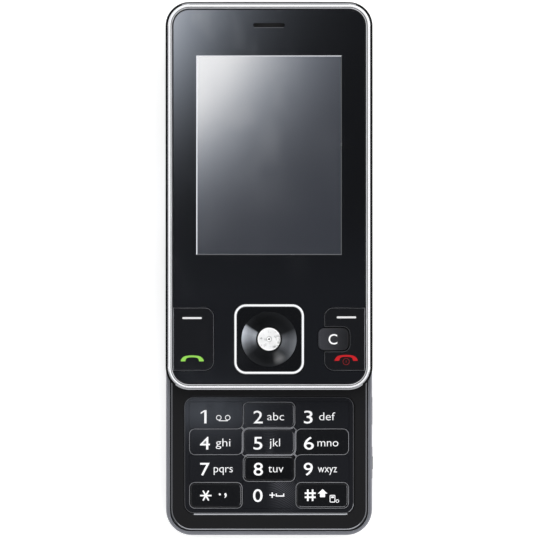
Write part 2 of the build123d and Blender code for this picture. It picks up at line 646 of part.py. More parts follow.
def camera_bezel():
    ring = rod(CAMERA_BEZEL_RADIUS, CAMERA_RECESS, BACK_FLOOR, 0, CAMERA_Y)
    ring = chamfer(outer_edges(ring, CAMERA_RECESS), 0.2)
    return ring - rod(CAMERA_LENS_RADIUS, -CUT, BACK_FLOOR + CUT, 0, CAMERA_Y)


def camera_window():
    return rod(CAMERA_LENS_RADIUS - HAIR_GAP, CAMERA_WINDOW_RECESS, BACK_FLOOR, 0, CAMERA_Y)


def loudspeaker():
    low = INNER_BOTTOM
    shape = plate(SPEAKER_WIDTH, SPEAKER_LENGTH, 1.5, low, low + SPEAKER_HEIGHT, SPEAKER_X, CAMERA_Y)
    mouth = plate(SPEAKER_WIDTH - 2, SPEAKER_LENGTH - 2, 1.2, low - CUT, low + 0.3, SPEAKER_X, CAMERA_Y)
    return shape - mouth


def vibration_motor():
    high = INNER_BOTTOM + MOTOR_HEIGHT
    shape = rod(MOTOR_RADIUS, INNER_BOTTOM, high, MOTOR_X, CAMERA_Y)
    return shape + rod(MOTOR_RADIUS / 2, high - SINK, high + 0.15, MOTOR_X, CAMERA_Y)


def antenna():
    """A bent metal strip on the end of the board's space."""
    y0 = BASE_END + BASE_WALL + 0.3
    y1 = -BOARD_LENGTH / 2 - 0.15
    low = BAY_TOP + CLOSE_FIT
    half, sheet = ANTENNA_LENGTH / 2, ANTENNA_SHEET
    shape = block(-half, half, y0, y1, low, low + sheet)
    shape += block(-half, half, y0, y0 + sheet, low, low + 3 * sheet)
    return shape - block(5 - half, half - 5, y0 + 0.5, y1 - sheet, low - CUT, low + CUT)


def microphone():
    y = KEYPAD_CENTRE - KEYPAD_LENGTH / 2 - 0.9
    return rod(MICROPHONE_RADIUS, BOARD_TOP, BOARD_TOP + MICROPHONE_HEIGHT, 0, y)


def system_connector():
    """The socket behind the port cover: a folded shell with a tongue."""
    x0 = -BASE_WIDTH / 2 + PORT_COVER_THICKNESS + 0.25
    x1 = x0 + CONNECTOR_DEPTH
    y0, y1 = PORT_COVER_CENTRE - CONNECTOR_LENGTH / 2, PORT_COVER_CENTRE + CONNECTOR_LENGTH / 2
    z0, z1 = SIDE_KEY_LEVEL - CONNECTOR_HEIGHT / 2, SIDE_KEY_LEVEL + CONNECTOR_HEIGHT / 2
    wall = CONNECTOR_WALL
    shape = block(x0, x1, y0, y1, z0, z1)
    shape -= block(x0 - CUT, x1 - wall, y0 + wall, y1 - wall, z0 + wall, z1 - wall)
    z0, z1 = SIDE_KEY_LEVEL - TONGUE_THICKNESS / 2, SIDE_KEY_LEVEL + TONGUE_THICKNESS / 2
    return shape + block(x0 + 0.8, x1 - wall / 2, y0 + 1.4, y1 - 1.4, z0, z1)


def base_screws():
    """Four housing screws in the bay and four countersunk screws in the carriage."""
    screws = []
    for x, y in housing_screw_points():
        low = BAY_BOTTOM - HAIR_GAP
        head = rod(SCREW_HEAD_RADIUS, low - SCREW_HEAD_HEIGHT, low, x, y)
        shank = rod(SCREW_RADIUS, low - SINK, PANEL_BOTTOM - 0.3, x, y)
        half = SCREW_SLOT_WIDTH / 2
        screws.append(head + shank - block(x - 0.9, x + 0.9, y - half, y + half, low - CUT, low - 0.25))
    for x, y in carriage_screw_points():
        top = BASE_HEIGHT + CARRIAGE_SHEET
        head = Cone(SMALL_SCREW_RADIUS, SMALL_HEAD_RADIUS, SMALL_HEAD_HEIGHT)
        head = Pos(x, y, top - SMALL_HEAD_HEIGHT / 2) * head
        screws.append(head + rod(SMALL_SCREW_RADIUS, PANEL_BOTTOM + SINK, top - 0.2, x, y))
    return Compound(children=screws)


def wing_level():
    """The middle height of the carriage's wings, midway in the rail's channel."""
    return (CHANNEL_LOW + RAIL_BASE) / 2


def slide_carriage():
    """A steel plate on the keypad half whose raised wings run in the rail."""
    wing_x = RAIL_WIDTH / 2 - RAIL_SHEET - SHOE_THICKNESS - CLOSE_FIT
    web_x = RAIL_WIDTH / 2 - RAIL_SHEET - RAIL_LIP - WEB_GAP
    middle = (CARRIAGE_LOW + CARRIAGE_HIGH) / 2
    bottom, top = BASE_HEIGHT, BASE_HEIGHT + CARRIAGE_SHEET
    wing_low = wing_level() - CARRIAGE_SHEET / 2
    wing_high = wing_low + CARRIAGE_SHEET
    shape = plate(2 * web_x, CARRIAGE_HIGH - CARRIAGE_LOW, 0.4, bottom, top, 0, middle)
    for side in (-1, 1):
        x0, x1 = sorted((side * (web_x - CARRIAGE_SHEET), side * web_x))
        shape += block(x0, x1, CARRIAGE_LOW + WING_INSET, CARRIAGE_HIGH - WING_INSET, bottom, wing_high)
        x0, x1 = sorted((side * (web_x - CARRIAGE_SHEET), side * wing_x))
        shape += block(x0, x1, CARRIAGE_LOW + WING_INSET, CARRIAGE_HIGH - WING_INSET, wing_low, wing_high)
        shape += rod(POST_RADIUS, top - SINK, top + POST_HEIGHT, side * SPRING_BASE_X, TRAVEL / 2)
    shape -= flex_slot(FLEX_SLOT_Y, bottom, top)
    for x, y in carriage_screw_points():
        seat = Cone(SCREW_RADIUS, SCREW_HEAD_RADIUS, SMALL_HEAD_HEIGHT + CLOSE_FIT)
        shape -= Pos(x, y, top - SMALL_HEAD_HEIGHT / 2) * seat
        shape -= rod(SCREW_RADIUS, bottom - CUT, top, x, y)
    return shape


def glide_shoes():
    """Plastic liners folded over the carriage's wings."""
    wing_x = RAIL_WIDTH / 2 - RAIL_SHEET - SHOE_THICKNESS - CLOSE_FIT
    low = wing_level() - CARRIAGE_SHEET / 2
    high = low + CARRIAGE_SHEET
    middle = (CARRIAGE_LOW + CARRIAGE_HIGH) / 2
    wing_y0, wing_y1 = CARRIAGE_LOW + WING_INSET - 0.01, CARRIAGE_HIGH - WING_INSET + 0.01
    shoes = []
    for side in (-1, 1):
        for y0, y1 in ((CARRIAGE_LOW, middle - 6), (middle + 6, CARRIAGE_HIGH)):
            inner = RAIL_WIDTH / 2 - RAIL_SHEET - RAIL_LIP + 0.1
            x0, x1 = sorted((side * inner, side * (wing_x + SHOE_THICKNESS)))
            shoe = block(x0, x1, y0, y1, low - SHOE_THICKNESS, high + SHOE_THICKNESS)
            x0, x1 = sorted((side * (inner - CUT), side * (wing_x + 0.01)))
            shoes.append(shoe - block(x0, x1, wing_y0, wing_y1, low - 0.01, high + 0.01))
    return Compound(children=shoes)


def rail_plate():
    """A steel channel in the screen half's back, with turned-in lips, end stops and two spring posts."""
    roof = RAIL_BASE + RAIL_SHEET
    half = RAIL_WIDTH / 2
    low, high = RAIL_LOW - 2 * END_STOP, RAIL_HIGH + 2 * END_STOP
    shape = block(-half, half, low, high, RAIL_BASE, roof)
    for side in (-1, 1):
        x0, x1 = sorted((side * (half - RAIL_SHEET), side * half))
        shape += block(x0, x1, low, high, LIP_BOTTOM, roof)
        x0, x1 = sorted((side * (half - RAIL_SHEET - RAIL_LIP + 0.4), side * half))
        shape += block(x0, x1, low, high, LIP_BOTTOM, LIP_BOTTOM + RAIL_SHEET)
        for y0, y1 in ((low, low + END_STOP), (high - END_STOP, high)):
            shape += block(x0, x1, y0, y1, LIP_BOTTOM, roof)
        shape += rod(POST_RADIUS, RAIL_BASE - POST_HEIGHT, RAIL_BASE + SINK, side * SPRING_RAIL_X, SLIDE_Y)
    shape -= flex_slot(SLIDE_FLEX_Y, RAIL_BASE, roof)
    for x, y in rail_screw_points():
        shape -= rod(SCREW_RADIUS, RAIL_BASE - CUT, roof + CUT, x, y)
    return shape


def rail_screw_points():
    return [(x, y) for x in (-10, 10) for y in (RAIL_LOW + 3.5, RAIL_HIGH - 3.5)]


def spring_leg(start, end, level):
    """A straight length of spring wire at one height."""
    along = end - start
    middle = (start + end) / 2
    place = Plane(origin=(middle.X, middle.Y, level), z_dir=along)
    return place * Cylinder(LEG_RADIUS, along.length)


def assist_springs():
    """A close-wound torsion spring each side, with an eye on a carriage post and one on a rail post."""
    low = BASE_HEIGHT + CARRIAGE_SHEET + REST_GAP
    low_level, high_level = low + SPRING_WIRE, low + SPRING_COIL_HEIGHT - SPRING_WIRE
    coil_mean = SPRING_COIL_RADIUS - SPRING_WIRE
    springs = []
    for side in (-1, 1):
        base, rail = Vector(side * SPRING_BASE_X, TRAVEL / 2), Vector(side * SPRING_RAIL_X, SLIDE_Y)
        across = (rail - base).cross(Vector(0, 0, side)).normalized()
        coil = (base + rail) * 0.5 - across * SPRING_BOW
        spring = rod(SPRING_COIL_RADIUS, low, low + SPRING_COIL_HEIGHT, coil.X, coil.Y)
        for post, level in ((base, low_level), (rail, high_level)):
            along = (coil - post).normalized()
            outside = along.cross(Vector(0, 0, 1)).normalized()
            outside = outside if outside.dot(across) > 0 else -outside
            spring += spring_leg(post + along * (POST_RADIUS + SPRING_WIRE), coil + outside * coil_mean, level)
            spring += rod(EYE_RADIUS, level - SPRING_WIRE, level + SPRING_WIRE, post.X, post.Y)
            spring -= rod(POST_RADIUS + FIT, level - CUT, level + CUT, post.X, post.Y)
        springs.append(spring - rod(coil_mean - SPRING_WIRE, low - CUT, low + 2 * CUT, coil.X, coil.Y))
    return Compound(children=springs)


def slide_flex():
    """The ribbon between the boards: a flat loop that rolls as the slide moves."""
    turn_y = (FLEX_RUN + FLEX_SLOT_Y + SLIDE_FLEX_Y) / 2
    start = BOARD_TOP + FLEX_THICKNESS / 2 + HAIR_GAP
    low = BASE_HEIGHT + CARRIAGE_SHEET + FLEX_THICKNESS
    high = RAIL_BASE - FLEX_THICKNESS
    end = SLIDE_BOARD_TOP + FLEX_THICKNESS
    points = [
        (0, FLEX_SLOT_Y + 3.3, start), (0, FLEX_SLOT_Y, start), (0, FLEX_SLOT_Y, low), (0, turn_y, low),
        (0, turn_y, high), (0, SLIDE_FLEX_Y, high), (0, SLIDE_FLEX_Y, end), (0, SLIDE_FLEX_Y - 2.4, end),
    ]
    bend = (high - low) / 2 - 0.01
    path = FilletPolyline(*points, radius=(FLEX_BEND, FLEX_BEND, bend, bend, FLEX_BEND, FLEX_BEND / 2))
    section = Plane(path @ 0, x_dir=(1, 0, 0), z_dir=path % 0) * Rectangle(FLEX_WIDTH, FLEX_THICKNESS)
    return sweep(section, path=path)


def slide_screw_points():
    x = SLIDE_WIDTH / 2 - SLIDE_WALL - SLIDE_SKIRT - BOSS_RADIUS + 0.2
    y = SLIDE_LENGTH / 2 - SLIDE_WALL - SLIDE_SKIRT - BOSS_RADIUS - 0.4
    return [(sx * x, SLIDE_Y + sy * y) for sx in (-1, 1) for sy in (-1, 1)]


def slide_rear_housing():
    """The screen half's back shell, with the rail's recess."""
    shape = slide_plate(0, SLIDE_BOTTOM, TRIM_BOTTOM)
    shape = fillet(outer_edges(shape, SLIDE_BOTTOM), SLIDE_BACK_ROUND)
    shape -= slide_plate(SLIDE_WALL, SLIDE_FLOOR_TOP, TRIM_BOTTOM + CUT)
    half = RAIL_WIDTH / 2
    low, high = RAIL_LOW - 1.0, RAIL_HIGH + 1.0
    outer, wall = half + RECESS_GAP, RECESS_WALL
    shape += block(-outer - wall, outer + wall, low - wall, high + wall, LIP_BOTTOM, SLIDE_INSIDE)
    shape -= block(-outer, outer, low, high, SLIDE_BOTTOM - CUT, RAIL_ROOF)
    shape -= flex_slot(SLIDE_FLEX_Y, RAIL_ROOF, SLIDE_INSIDE)
    for x, y in slide_screw_points():
        shape -= rod(SCREW_RADIUS + FIT, SLIDE_BOTTOM - CUT, SLIDE_FLOOR_TOP + SINK, x, y)
        shape -= rod(SCREW_HEAD_RADIUS + FIT, SLIDE_BOTTOM - CUT, SLIDE_BOTTOM + SINK + SMALL_HEAD_HEIGHT, x, y)
    for x, y in rail_screw_points():
        shape -= rod(SCREW_RADIUS, RAIL_ROOF - SINK, SLIDE_INSIDE - SINK, x, y)
    return shape


def slide_screws():
    """Four housing screws in the back and four that hold the rail plate."""
    screws = []
    for x, y in slide_screw_points():
        low = SLIDE_BOTTOM + CLOSE_FIT
        high = low + SMALL_HEAD_HEIGHT
        head = rod(SCREW_HEAD_RADIUS, low, high, x, y)
        shank = rod(SCREW_RADIUS, high - SINK, DECK_BOTTOM - 0.5, x, y)
        half, reach, depth = SCREW_SLOT_WIDTH / 2, 0.8, low + 0.15
        cross = block(x - reach, x + reach, y - half, y + half, low - CUT, depth)
        cross += block(x - half, x + half, y - reach, y + reach, low - CUT, depth)
        screws.append(head + shank - cross)
    for x, y in rail_screw_points():
        head = rod(SMALL_HEAD_RADIUS, RAIL_BASE - SMALL_HEAD_HEIGHT, RAIL_BASE, x, y)
        screws.append(head + rod(SMALL_SCREW_RADIUS, RAIL_BASE - SINK, SLIDE_INSIDE - 0.15, x, y))
    return Compound(children=screws)


def chrome_trim():
    """The bright ring round the screen half's front."""
    shape = slide_plate(TRIM_INSET, TRIM_BOTTOM, PHONE_TOP)
    shape -= slide_plate(TRIM_INSET + TRIM_WIDTH, TRIM_BOTTOM - CUT, PHONE_TOP + CUT)
    return fillet(outer_edges(shape, PHONE_TOP), TRIM_WIDTH * 0.42)


def screen_opening(margin, low, high):
    """The space of the display panel, with a margin all round."""
    width = SCREEN_WIDTH + 2 * PANEL_MARGIN_X + 2 * margin
    length = SCREEN_LENGTH + PANEL_MARGIN_TOP + PANEL_MARGIN_FOOT + 2 * margin
    y = SCREEN_Y + (PANEL_MARGIN_TOP - PANEL_MARGIN_FOOT) / 2
    return plate(width, length, 0.5 + margin, low, high, 0, y)


def rocker_face(side, clearance):
    """A rocker's outline, grown by a clearance: square outer corners and round inner ones."""
    face = Rectangle(ROCKER_WIDTH + 2 * clearance, ROCKER_LENGTH + 2 * clearance)
    inner = face.vertices().sort_by(Axis.X)[:2] if side > 0 else face.vertices().sort_by(Axis.X)[-2:]
    face = fillet(inner, ROCKER_CORNER + clearance)
    return Pos(side * (ROCKER_OUTER_X + ROCKER_INNER_X) / 2, CLUSTER_Y) * face


def clear_face(clearance):
    face = RectangleRounded(CLEAR_WIDTH + 2 * clearance, CLEAR_LENGTH + 2 * clearance, CLEAR_CORNER + clearance)
    return Pos(CLEAR_X, CLUSTER_Y) * face


def nav_face(clearance):
    side = NAV_SIDE + 2 * clearance
    return Pos(0, CLUSTER_Y) * RectangleRounded(side, side, NAV_CORNER + clearance)


def solid_between(face, low, high):
    return Pos(0, 0, low) * extrude(face, high - low)


def key_openings(clearance, low, high):
    """The holes that the screen half's keys stand in."""
    shape = solid_between(nav_face(clearance), low, high)
    shape += solid_between(rocker_face(-1, clearance), low, high)
    shape += solid_between(rocker_face(1, clearance), low, high)
    return shape + solid_between(clear_face(clearance), low, high)


def earpiece_slot(margin, low, high):
    """The slot in front of the earpiece, grown by a margin."""
    length, width = EARPIECE_SLOT_LENGTH + 2 * margin, EARPIECE_SLOT_WIDTH + 2 * margin
    return plate(length, width, width / 2 - 0.01, low, high, 0, SPEAKING_Y)


def slide_front_housing():
    """The frame that carries the window: its lip shows as a thin line inside the chrome ring."""
    inset = LIP_INSET
    shape = slide_plate(inset, SLIDE_FLOOR_TOP + CLOSE_FIT, LIP_TOP)
    shape = chamfer(outer_edges(shape, LIP_TOP), WINDOW_BEVEL)
    shape -= slide_plate(inset + LIP_WIDTH, DECK_TOP, LIP_TOP + CUT)
    shape -= slide_plate(inset + SLIDE_SKIRT, SLIDE_FLOOR_TOP - CUT, DECK_BOTTOM)
    shape -= screen_opening(FIT, DECK_BOTTOM - CUT, DECK_TOP + CUT)
    deck_limit = slide_plate(inset + SLIDE_SKIRT, DECK_BOTTOM - CUT, DECK_TOP + CUT)
    shape -= key_openings(0.3, DECK_BOTTOM - CUT, DECK_TOP + 0.01) & deck_limit
    shape -= earpiece_slot(MESH_MARGIN + REST_GAP, DECK_BOTTOM - CUT, DECK_TOP + CUT)
    for x, y in slide_screw_points():
        shape += rod(BOSS_RADIUS, SLIDE_FLOOR_TOP + CLOSE_FIT, DECK_BOTTOM + SINK, x, y)
        shape -= rod(SCREW_RADIUS + HAIR_GAP, SLIDE_FLOOR_TOP - CUT, DECK_BOTTOM - 0.3, x, y)
    return shape


def front_window():
    """One glossy plate over the whole face, with holes for the keys and the earpiece."""
    shape = slide_plate(WINDOW_INSET, WINDOW_BOTTOM, WINDOW_TOP)
    shape = chamfer(outer_edges(shape, WINDOW_TOP), WINDOW_BEVEL)
    shape -= key_openings(FIT, WINDOW_BOTTOM - CUT, WINDOW_TOP + CUT)
    return shape - earpiece_slot(0, WINDOW_BOTTOM - CUT, WINDOW_TOP + CUT)


def lcd_panel():
    return screen_opening(0, LCD_MIDDLE, LCD_TOP)


def lcd_backlight():
    return screen_opening(-0.15, LCD_BOTTOM, LCD_MIDDLE)


def earpiece():
    low, high = SLIDE_INSIDE + REST_GAP, DECK_BOTTOM - REST_GAP
    shape = plate(EARPIECE_LENGTH, EARPIECE_WIDTH, 1.8, low, high, 0, SPEAKING_Y)
    return shape - plate(8.0, 2.0, 0.8, high - 0.3, high + CUT, 0, SPEAKING_Y)


def earpiece_mesh():
    return earpiece_slot(MESH_MARGIN, DECK_TOP - MESH_SHEET, DECK_TOP)


def slide_board():
    """The upper board, under the display and the keys, with a slot for the ribbon."""
    y0 = SLIDE_Y - SLIDE_LENGTH / 2 + LIP_INSET + SLIDE_SKIRT + SLIDE_BOARD_FOOT
    y1 = SPEAKING_Y - SLIDE_BOARD_HEAD
    low, high = SLIDE_BOARD_BOTTOM, SLIDE_BOARD_TOP
    width = SLIDE_WIDTH - 2 * (LIP_INSET + SLIDE_SKIRT + SLIDE_BOARD_SIDE)
    shape = plate(width, y1 - y0, BOARD_CORNER, low, high, 0, (y0 + y1) / 2)
    return shape - flex_slot(SLIDE_FLEX_Y, low, high)


def slide_key_mat():
    """The rubber mat under the rocker and clear keys, open under the navigation key."""
    width = 2 * (ROCKER_OUTER_X - PAD_SIDE)
    shape = plate(width, ROCKER_LENGTH, BOARD_CORNER, PAD_BOTTOM, PAD_TOP, 0, CLUSTER_Y)
    shape -= rod(NAV_PAD_RADIUS + PAD_RING_GAP, PAD_BOTTOM - CUT, PAD_TOP + CUT, 0, CLUSTER_Y)
    nub_x = ROCKER_OUTER_X - NUB_SIDE
    for x, y in ((-nub_x, NUB_Y), (-nub_x, -NUB_Y), (nub_x, NUB_Y), (nub_x, -NUB_Y), (CLEAR_X, 0)):
        shape += rod(MAT_NUB / 2, SLIDE_BOARD_TOP + CLOSE_FIT, PAD_BOTTOM + SINK, x, CLUSTER_Y + y)
    return shape


def rocker_solid(face):
    """A rocker: a full cap over a drawn-in foot that clears the deck as it tilts."""
    step = WINDOW_BOTTOM + SLIDE_KEY_SKIRT
    foot = offset(face, amount=-ROCKER_FOOT_INSET)
    shape = chamfer(outer_edges(solid_between(face, step, WINDOW_TOP), WINDOW_TOP), WINDOW_BEVEL)
    return shape + solid_between(foot, SLIDE_KEY_BOTTOM, step + SINK)


def left_rocker():
    return rocker_solid(rocker_face(-1, 0))


def right_rocker():
    """The right rocker, notched round the clear key."""
    return rocker_solid(rocker_face(1, 0) - clear_face(CLEAR_RING))


def clear_key():
    top = WINDOW_TOP + CLEAR_PROUD
    shape = solid_between(clear_face(0), SLIDE_KEY_BOTTOM, top)
    return fillet(outer_edges(shape, top), 0.3)


def nav_pad():
    """A rubber ring that the navigation key rocks on, as wide inside as the OK key's hole."""
    top = WINDOW_BOTTOM - 0.35
    ring = rod(NAV_PAD_RADIUS, top - PAD_THICKNESS, top, 0, CLUSTER_Y)
    return ring - rod(OK_RADIUS + OK_RING, top - CUT, top + CUT, 0, CLUSTER_Y)


def nav_key():
    """The square navigation plate with its round centre field and a hole for the OK key."""
    bottom, top = WINDOW_BOTTOM - 0.2, WINDOW_TOP - 0.1
    ledge = bottom + 0.3
    shape = solid_between(nav_face(-0.2), bottom, ledge)
    shape += solid_between(nav_face(-NAV_RIM_WIDTH - HAIR_GAP), ledge - SINK, top)
    shape += rod(NAV_DISC_RADIUS, top - SINK, WINDOW_TOP, 0, CLUSTER_Y)
    return shape - rod(OK_RADIUS + OK_RING, bottom - CUT, top + CUT, 0, CLUSTER_Y)


def nav_rim():
    """The chrome frame round the navigation plate."""
    low = WINDOW_BOTTOM + 0.1
    top = WINDOW_TOP + CLEAR_PROUD
    shape = solid_between(nav_face(0), low, top)
    shape -= solid_between(nav_face(-NAV_RIM_WIDTH), low - CUT, top + CUT)
    return fillet(outer_edges(shape, top), NAV_RIM_WIDTH * 0.4)


def ok_key():
    """The round OK key, with a dimple and a stem to its switch."""
    bottom, top = WINDOW_BOTTOM - 0.05, WINDOW_TOP + CLEAR_PROUD
    shape = rod(OK_RADIUS, bottom, top, 0, CLUSTER_Y)
    shape = fillet(outer_edges(shape, top), 0.25)
    shape -= Pos(0, CLUSTER_Y, top + OK_DIMPLE_RISE) * Sphere(OK_DIMPLE_RADIUS)
    return shape + rod(OK_STEM_RADIUS, SLIDE_BOARD_TOP + KEY_TRAVEL + 0.15, bottom + SINK, 0, CLUSTER_Y)


def side_block(outer, inner, centre, length, low, high):
    """A block in a side wall, between two places across it and two heights from the key's level."""
    x0, x1 = sorted((outer, inner))
    return block(x0, x1, centre - length / 2, centre + length / 2, SIDE_KEY_LEVEL + low, SIDE_KEY_LEVEL + high)


def side_press_key(side, centre, length, proud, crest, play):
    """A key in a side wall: a cap through the slot and a flange inside it."""
    face = side * BASE_WIDTH / 2
    inside = side * (BASE_WIDTH / 2 - BASE_WALL - play)
    high = SIDE_KEY_HEIGHT / 2
    shape = side_block(inside - side * SINK, face + side * proud, centre, length, -high, high)
    if crest:
        top = face + side * (proud + CAMERA_CREST_PROUD)
        shape += side_block(face, top, centre, crest, -high * 0.6, high * 0.6)
    flange_back = inside - side * SIDE_KEY_FLANGE
    return shape + side_block(inside, flange_back, centre, length + 1.0, 0.15 - high, high - 0.35)


def side_key():
    return side_press_key(1, SIDE_KEY_CENTRE, SIDE_KEY_LENGTH, SIDE_KEY_PROUD, 0, PRESS_KEY_PLAY)


def camera_key():
    length, crest = CAMERA_KEY_LENGTH, CAMERA_KEY_CREST
    return side_press_key(1, CAMERA_KEY_CENTRE, length, SIDE_KEY_PROUD, crest, PRESS_KEY_PLAY)


def volume_key():
    return side_press_key(-1, VOLUME_KEY_CENTRE, VOLUME_KEY_LENGTH, 0.0, 0, VOLUME_KEY_PLAY)


def port_cover():
    """A rubber flap flush with the side wall."""
    face = -BASE_WIDTH / 2
    high = SIDE_KEY_HEIGHT / 2 + PORT_COVER_MARGIN
    back = face + PORT_COVER_THICKNESS - REST_GAP
    shape = side_block(face, back, PORT_COVER_CENTRE, PORT_COVER_LENGTH, -high, high)
    notch_y = PORT_COVER_CENTRE + PORT_COVER_LENGTH / 2 - 0.85
    return shape - side_block(face - CUT, face + 0.25, notch_y, 0.7, -0.7, 0.7)


def all_nodes():
    nodes = {
        "rear_housing": rear_housing(), "battery_cover": battery_cover(), "front_housing": front_housing(),
        "keypad_frame": keypad_frame(), "keypad_mat": keypad_mat(), "dome_sheet": dome_sheet(),
        "main_board": main_board(), "shield_cans": shield_cans(), "battery": battery(),
        "battery_contacts": battery_contacts(), "sim_holder": sim_holder(), "sim_card": sim_card(),
        "camera_module": camera_module(), "camera_bezel": camera_bezel(), "camera_window": camera_window(),
        "loudspeaker": loudspeaker(), "vibration_motor": vibration_motor(), "antenna": antenna(),
        "microphone": microphone(), "system_connector": system_connector(), "base_screws": base_screws(),
        "slide_carriage": slide_carriage(), "glide_shoes": glide_shoes(), "rail_plate": rail_plate(),
        "assist_springs": assist_springs(), "slide_flex": slide_flex(),
        "slide_rear_housing": slide_rear_housing(), "slide_screws": slide_screws(),
        "chrome_trim": chrome_trim(),
        "slide_front_housing": slide_front_housing(), "front_window": front_window(), "lcd_panel": lcd_panel(),
        "lcd_backlight": lcd_backlight(), "earpiece": earpiece(), "earpiece_mesh": earpiece_mesh(),
        "slide_board": slide_board(), "slide_key_mat": slide_key_mat(), "left_rocker": left_rocker(),
        "right_rocker": right_rocker(), "clear_key": clear_key(), "nav_pad": nav_pad(), "nav_key": nav_key(),
        "nav_rim": nav_rim(), "ok_key": ok_key(), "side_key": side_key(), "camera_key": camera_key(),
        "volume_key": volume_key(), "port_cover": port_cover(),
    }
    for key in KEYS:
        nodes[key[0]] = key_cap(*key)
    return nodes


def main():
    os.makedirs("parts", exist_ok=True)
    for name, shape in all_nodes().items():
        export_step(shape, f"parts/{name}.step")


main()
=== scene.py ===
"""Dresses the packed slider phone: new trim, face, keys and lettering, and a finish for every part."""

import math

import bmesh
import bpy
from bpy.props import FloatProperty, FloatVectorProperty, PointerProperty
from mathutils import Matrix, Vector


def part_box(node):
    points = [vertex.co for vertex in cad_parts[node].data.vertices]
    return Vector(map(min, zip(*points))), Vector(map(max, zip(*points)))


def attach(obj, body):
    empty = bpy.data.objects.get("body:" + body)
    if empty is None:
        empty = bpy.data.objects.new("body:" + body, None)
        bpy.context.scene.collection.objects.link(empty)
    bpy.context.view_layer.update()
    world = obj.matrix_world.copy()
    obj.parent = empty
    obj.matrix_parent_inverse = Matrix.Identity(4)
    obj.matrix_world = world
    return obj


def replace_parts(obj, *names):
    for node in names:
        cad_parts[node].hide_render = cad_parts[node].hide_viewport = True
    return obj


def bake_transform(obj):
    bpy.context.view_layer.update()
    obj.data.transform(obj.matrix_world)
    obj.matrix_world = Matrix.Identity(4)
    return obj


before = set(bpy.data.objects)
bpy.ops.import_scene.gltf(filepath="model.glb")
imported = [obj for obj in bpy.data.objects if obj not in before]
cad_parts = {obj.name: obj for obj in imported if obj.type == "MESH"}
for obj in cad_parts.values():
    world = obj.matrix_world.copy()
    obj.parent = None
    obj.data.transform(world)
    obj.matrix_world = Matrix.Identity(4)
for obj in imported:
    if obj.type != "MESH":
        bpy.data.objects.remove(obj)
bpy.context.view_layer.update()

bl_info = {
    "name": "Slider Phone Dresser",
    "version": (1, 0, 0),
    "blender": (4, 5, 0),
    "location": "View3D > Sidebar > Phone",
    "description": "Builds the visible surfaces and finishes of a slider phone round its packed solids",
    "category": "Object",
}

MM = 0.001
LOWER_HALF = "keypad_half"
UPPER_HALF = "screen_half"
KEY_ROWS = (("1", "2", "3"), ("4", "5", "6"), ("7", "8", "9"), ("star", "0", "hash"))
# two points or heights nearer than this are the same
SAME = 1e-6
# a level face's normal stands at least this straight up, and a bevel's lies between the next two
LEVEL = 0.99
BEVEL = (0.2, 0.95)
# the kind of a shader group's socket, by how many numbers it holds
SOCKET_KINDS = {1: "NodeSocketFloat", 3: "NodeSocketVector", 4: "NodeSocketColor"}


def top_of(node):
    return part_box(node)[1].z


def length(name, value, description, low=0.0, high=1.0):
    return FloatProperty(
        name=name, description=description, default=value, min=low, max=high, unit="LENGTH", precision=5
    )


def colour(name, value, description):
    return FloatVectorProperty(
        name=name, description=description, default=value, min=0.0, max=1.0, size=3, subtype="COLOR"
    )


def share(name, value, description, high=1.0):
    return FloatProperty(name=name, description=description, default=value, min=0.0, max=high)


class BodyLook(bpy.types.PropertyGroup):
    """Colours of the two halves' housings"""

    band_colour: colour("Band colour", (0.17, 0.175, 0.195), "Paint of the lower half's outer band")
    panel_colour: colour("Panel colour", (0.0048, 0.0048, 0.0056), "Matt black moulded panels")
    cover_colour: colour("Cover colour", (0.012, 0.012, 0.0135), "Soft black coating of the battery cover")
    rubber_colour: colour("Rubber colour", (0.02, 0.02, 0.021), "Keypad mats and the port cover")
    panel_roughness: share("Panel roughness", 0.5, "How matt the black panels are")
    panel_corner: length("Panel corner", 0.0046, "Corner radius of the lower half's front panel")


class TrimLook(bpy.types.PropertyGroup):
    """Sizes and colour of the bright metal pieces"""

    corner: length("Corner radius", 0.0056, "Outer corner of the screen half's bright ring")
    crown: length("Crown height", 0.00045, "How far the ring's rounded top rises over its wall")
    bead_width: length("Bead width", 0.00022, "Thin line inside the ring")
    bead_colour: colour("Bead colour", (0.86, 0.865, 0.89), "Metal of the thin line inside the ring")
    # the ring's ledge is painted dark, a painted shade, except at the ring's two ends
    ring_start: length("Ring start", 0.0002, "Dark ledge outside the ring's rounded part")
    ring_width: length("Ring width", 0.0008, "Rounded part of the screen half's bright ring")
    frame_width: length("Frame width", 0.0008, "Bright frame round the navigation plate")
    frame_corner: length("Frame corner", 0.003, "Outer corner of the navigation frame")
    chrome_colour: colour("Chrome colour", (0.74, 0.745, 0.76), "Bright metal")
    # the flank colour is chrome painted darker: a painted shade
    flank_colour: colour("Flank colour", (0.33, 0.335, 0.35), "Steep sides of the bright metal")


class FaceLook(bpy.types.PropertyGroup):
    """The glossy front, its display field and the marks on its keys"""

    display_width: length("Display width", 0.0358, "Width of the display field")
    display_length: length("Display length", 0.0491, "Length of the display field")
    display_centre: length("Display centre", 0.04585, "Place of the display field along the phone", -1.0)
    display_border: length("Display border", 0.00022, "Sloped border round the display field")
    display_depth: length("Display depth", 0.00012, "How far the display field lies under the face")
    face_colour: colour("Face colour", (0.0035, 0.0036, 0.0042), "Glossy black front")
    # the face's foot colour is a painted sheen on the same glossy black
    face_foot_colour: colour("Face foot colour", (0.0064, 0.0069, 0.0086), "Glossy black at the front's foot")
    display_colour: colour("Display colour", (0.0305, 0.033, 0.041), "Unlit display")
    call_colour: colour("Call colour", (0.25, 0.56, 0.08), "Green handset")
    end_colour: colour("End colour", (0.46, 0.006, 0.010), "Red handset")
    mark_colour: colour("Mark colour", (0.88, 0.88, 0.89), "White marks and lettering")


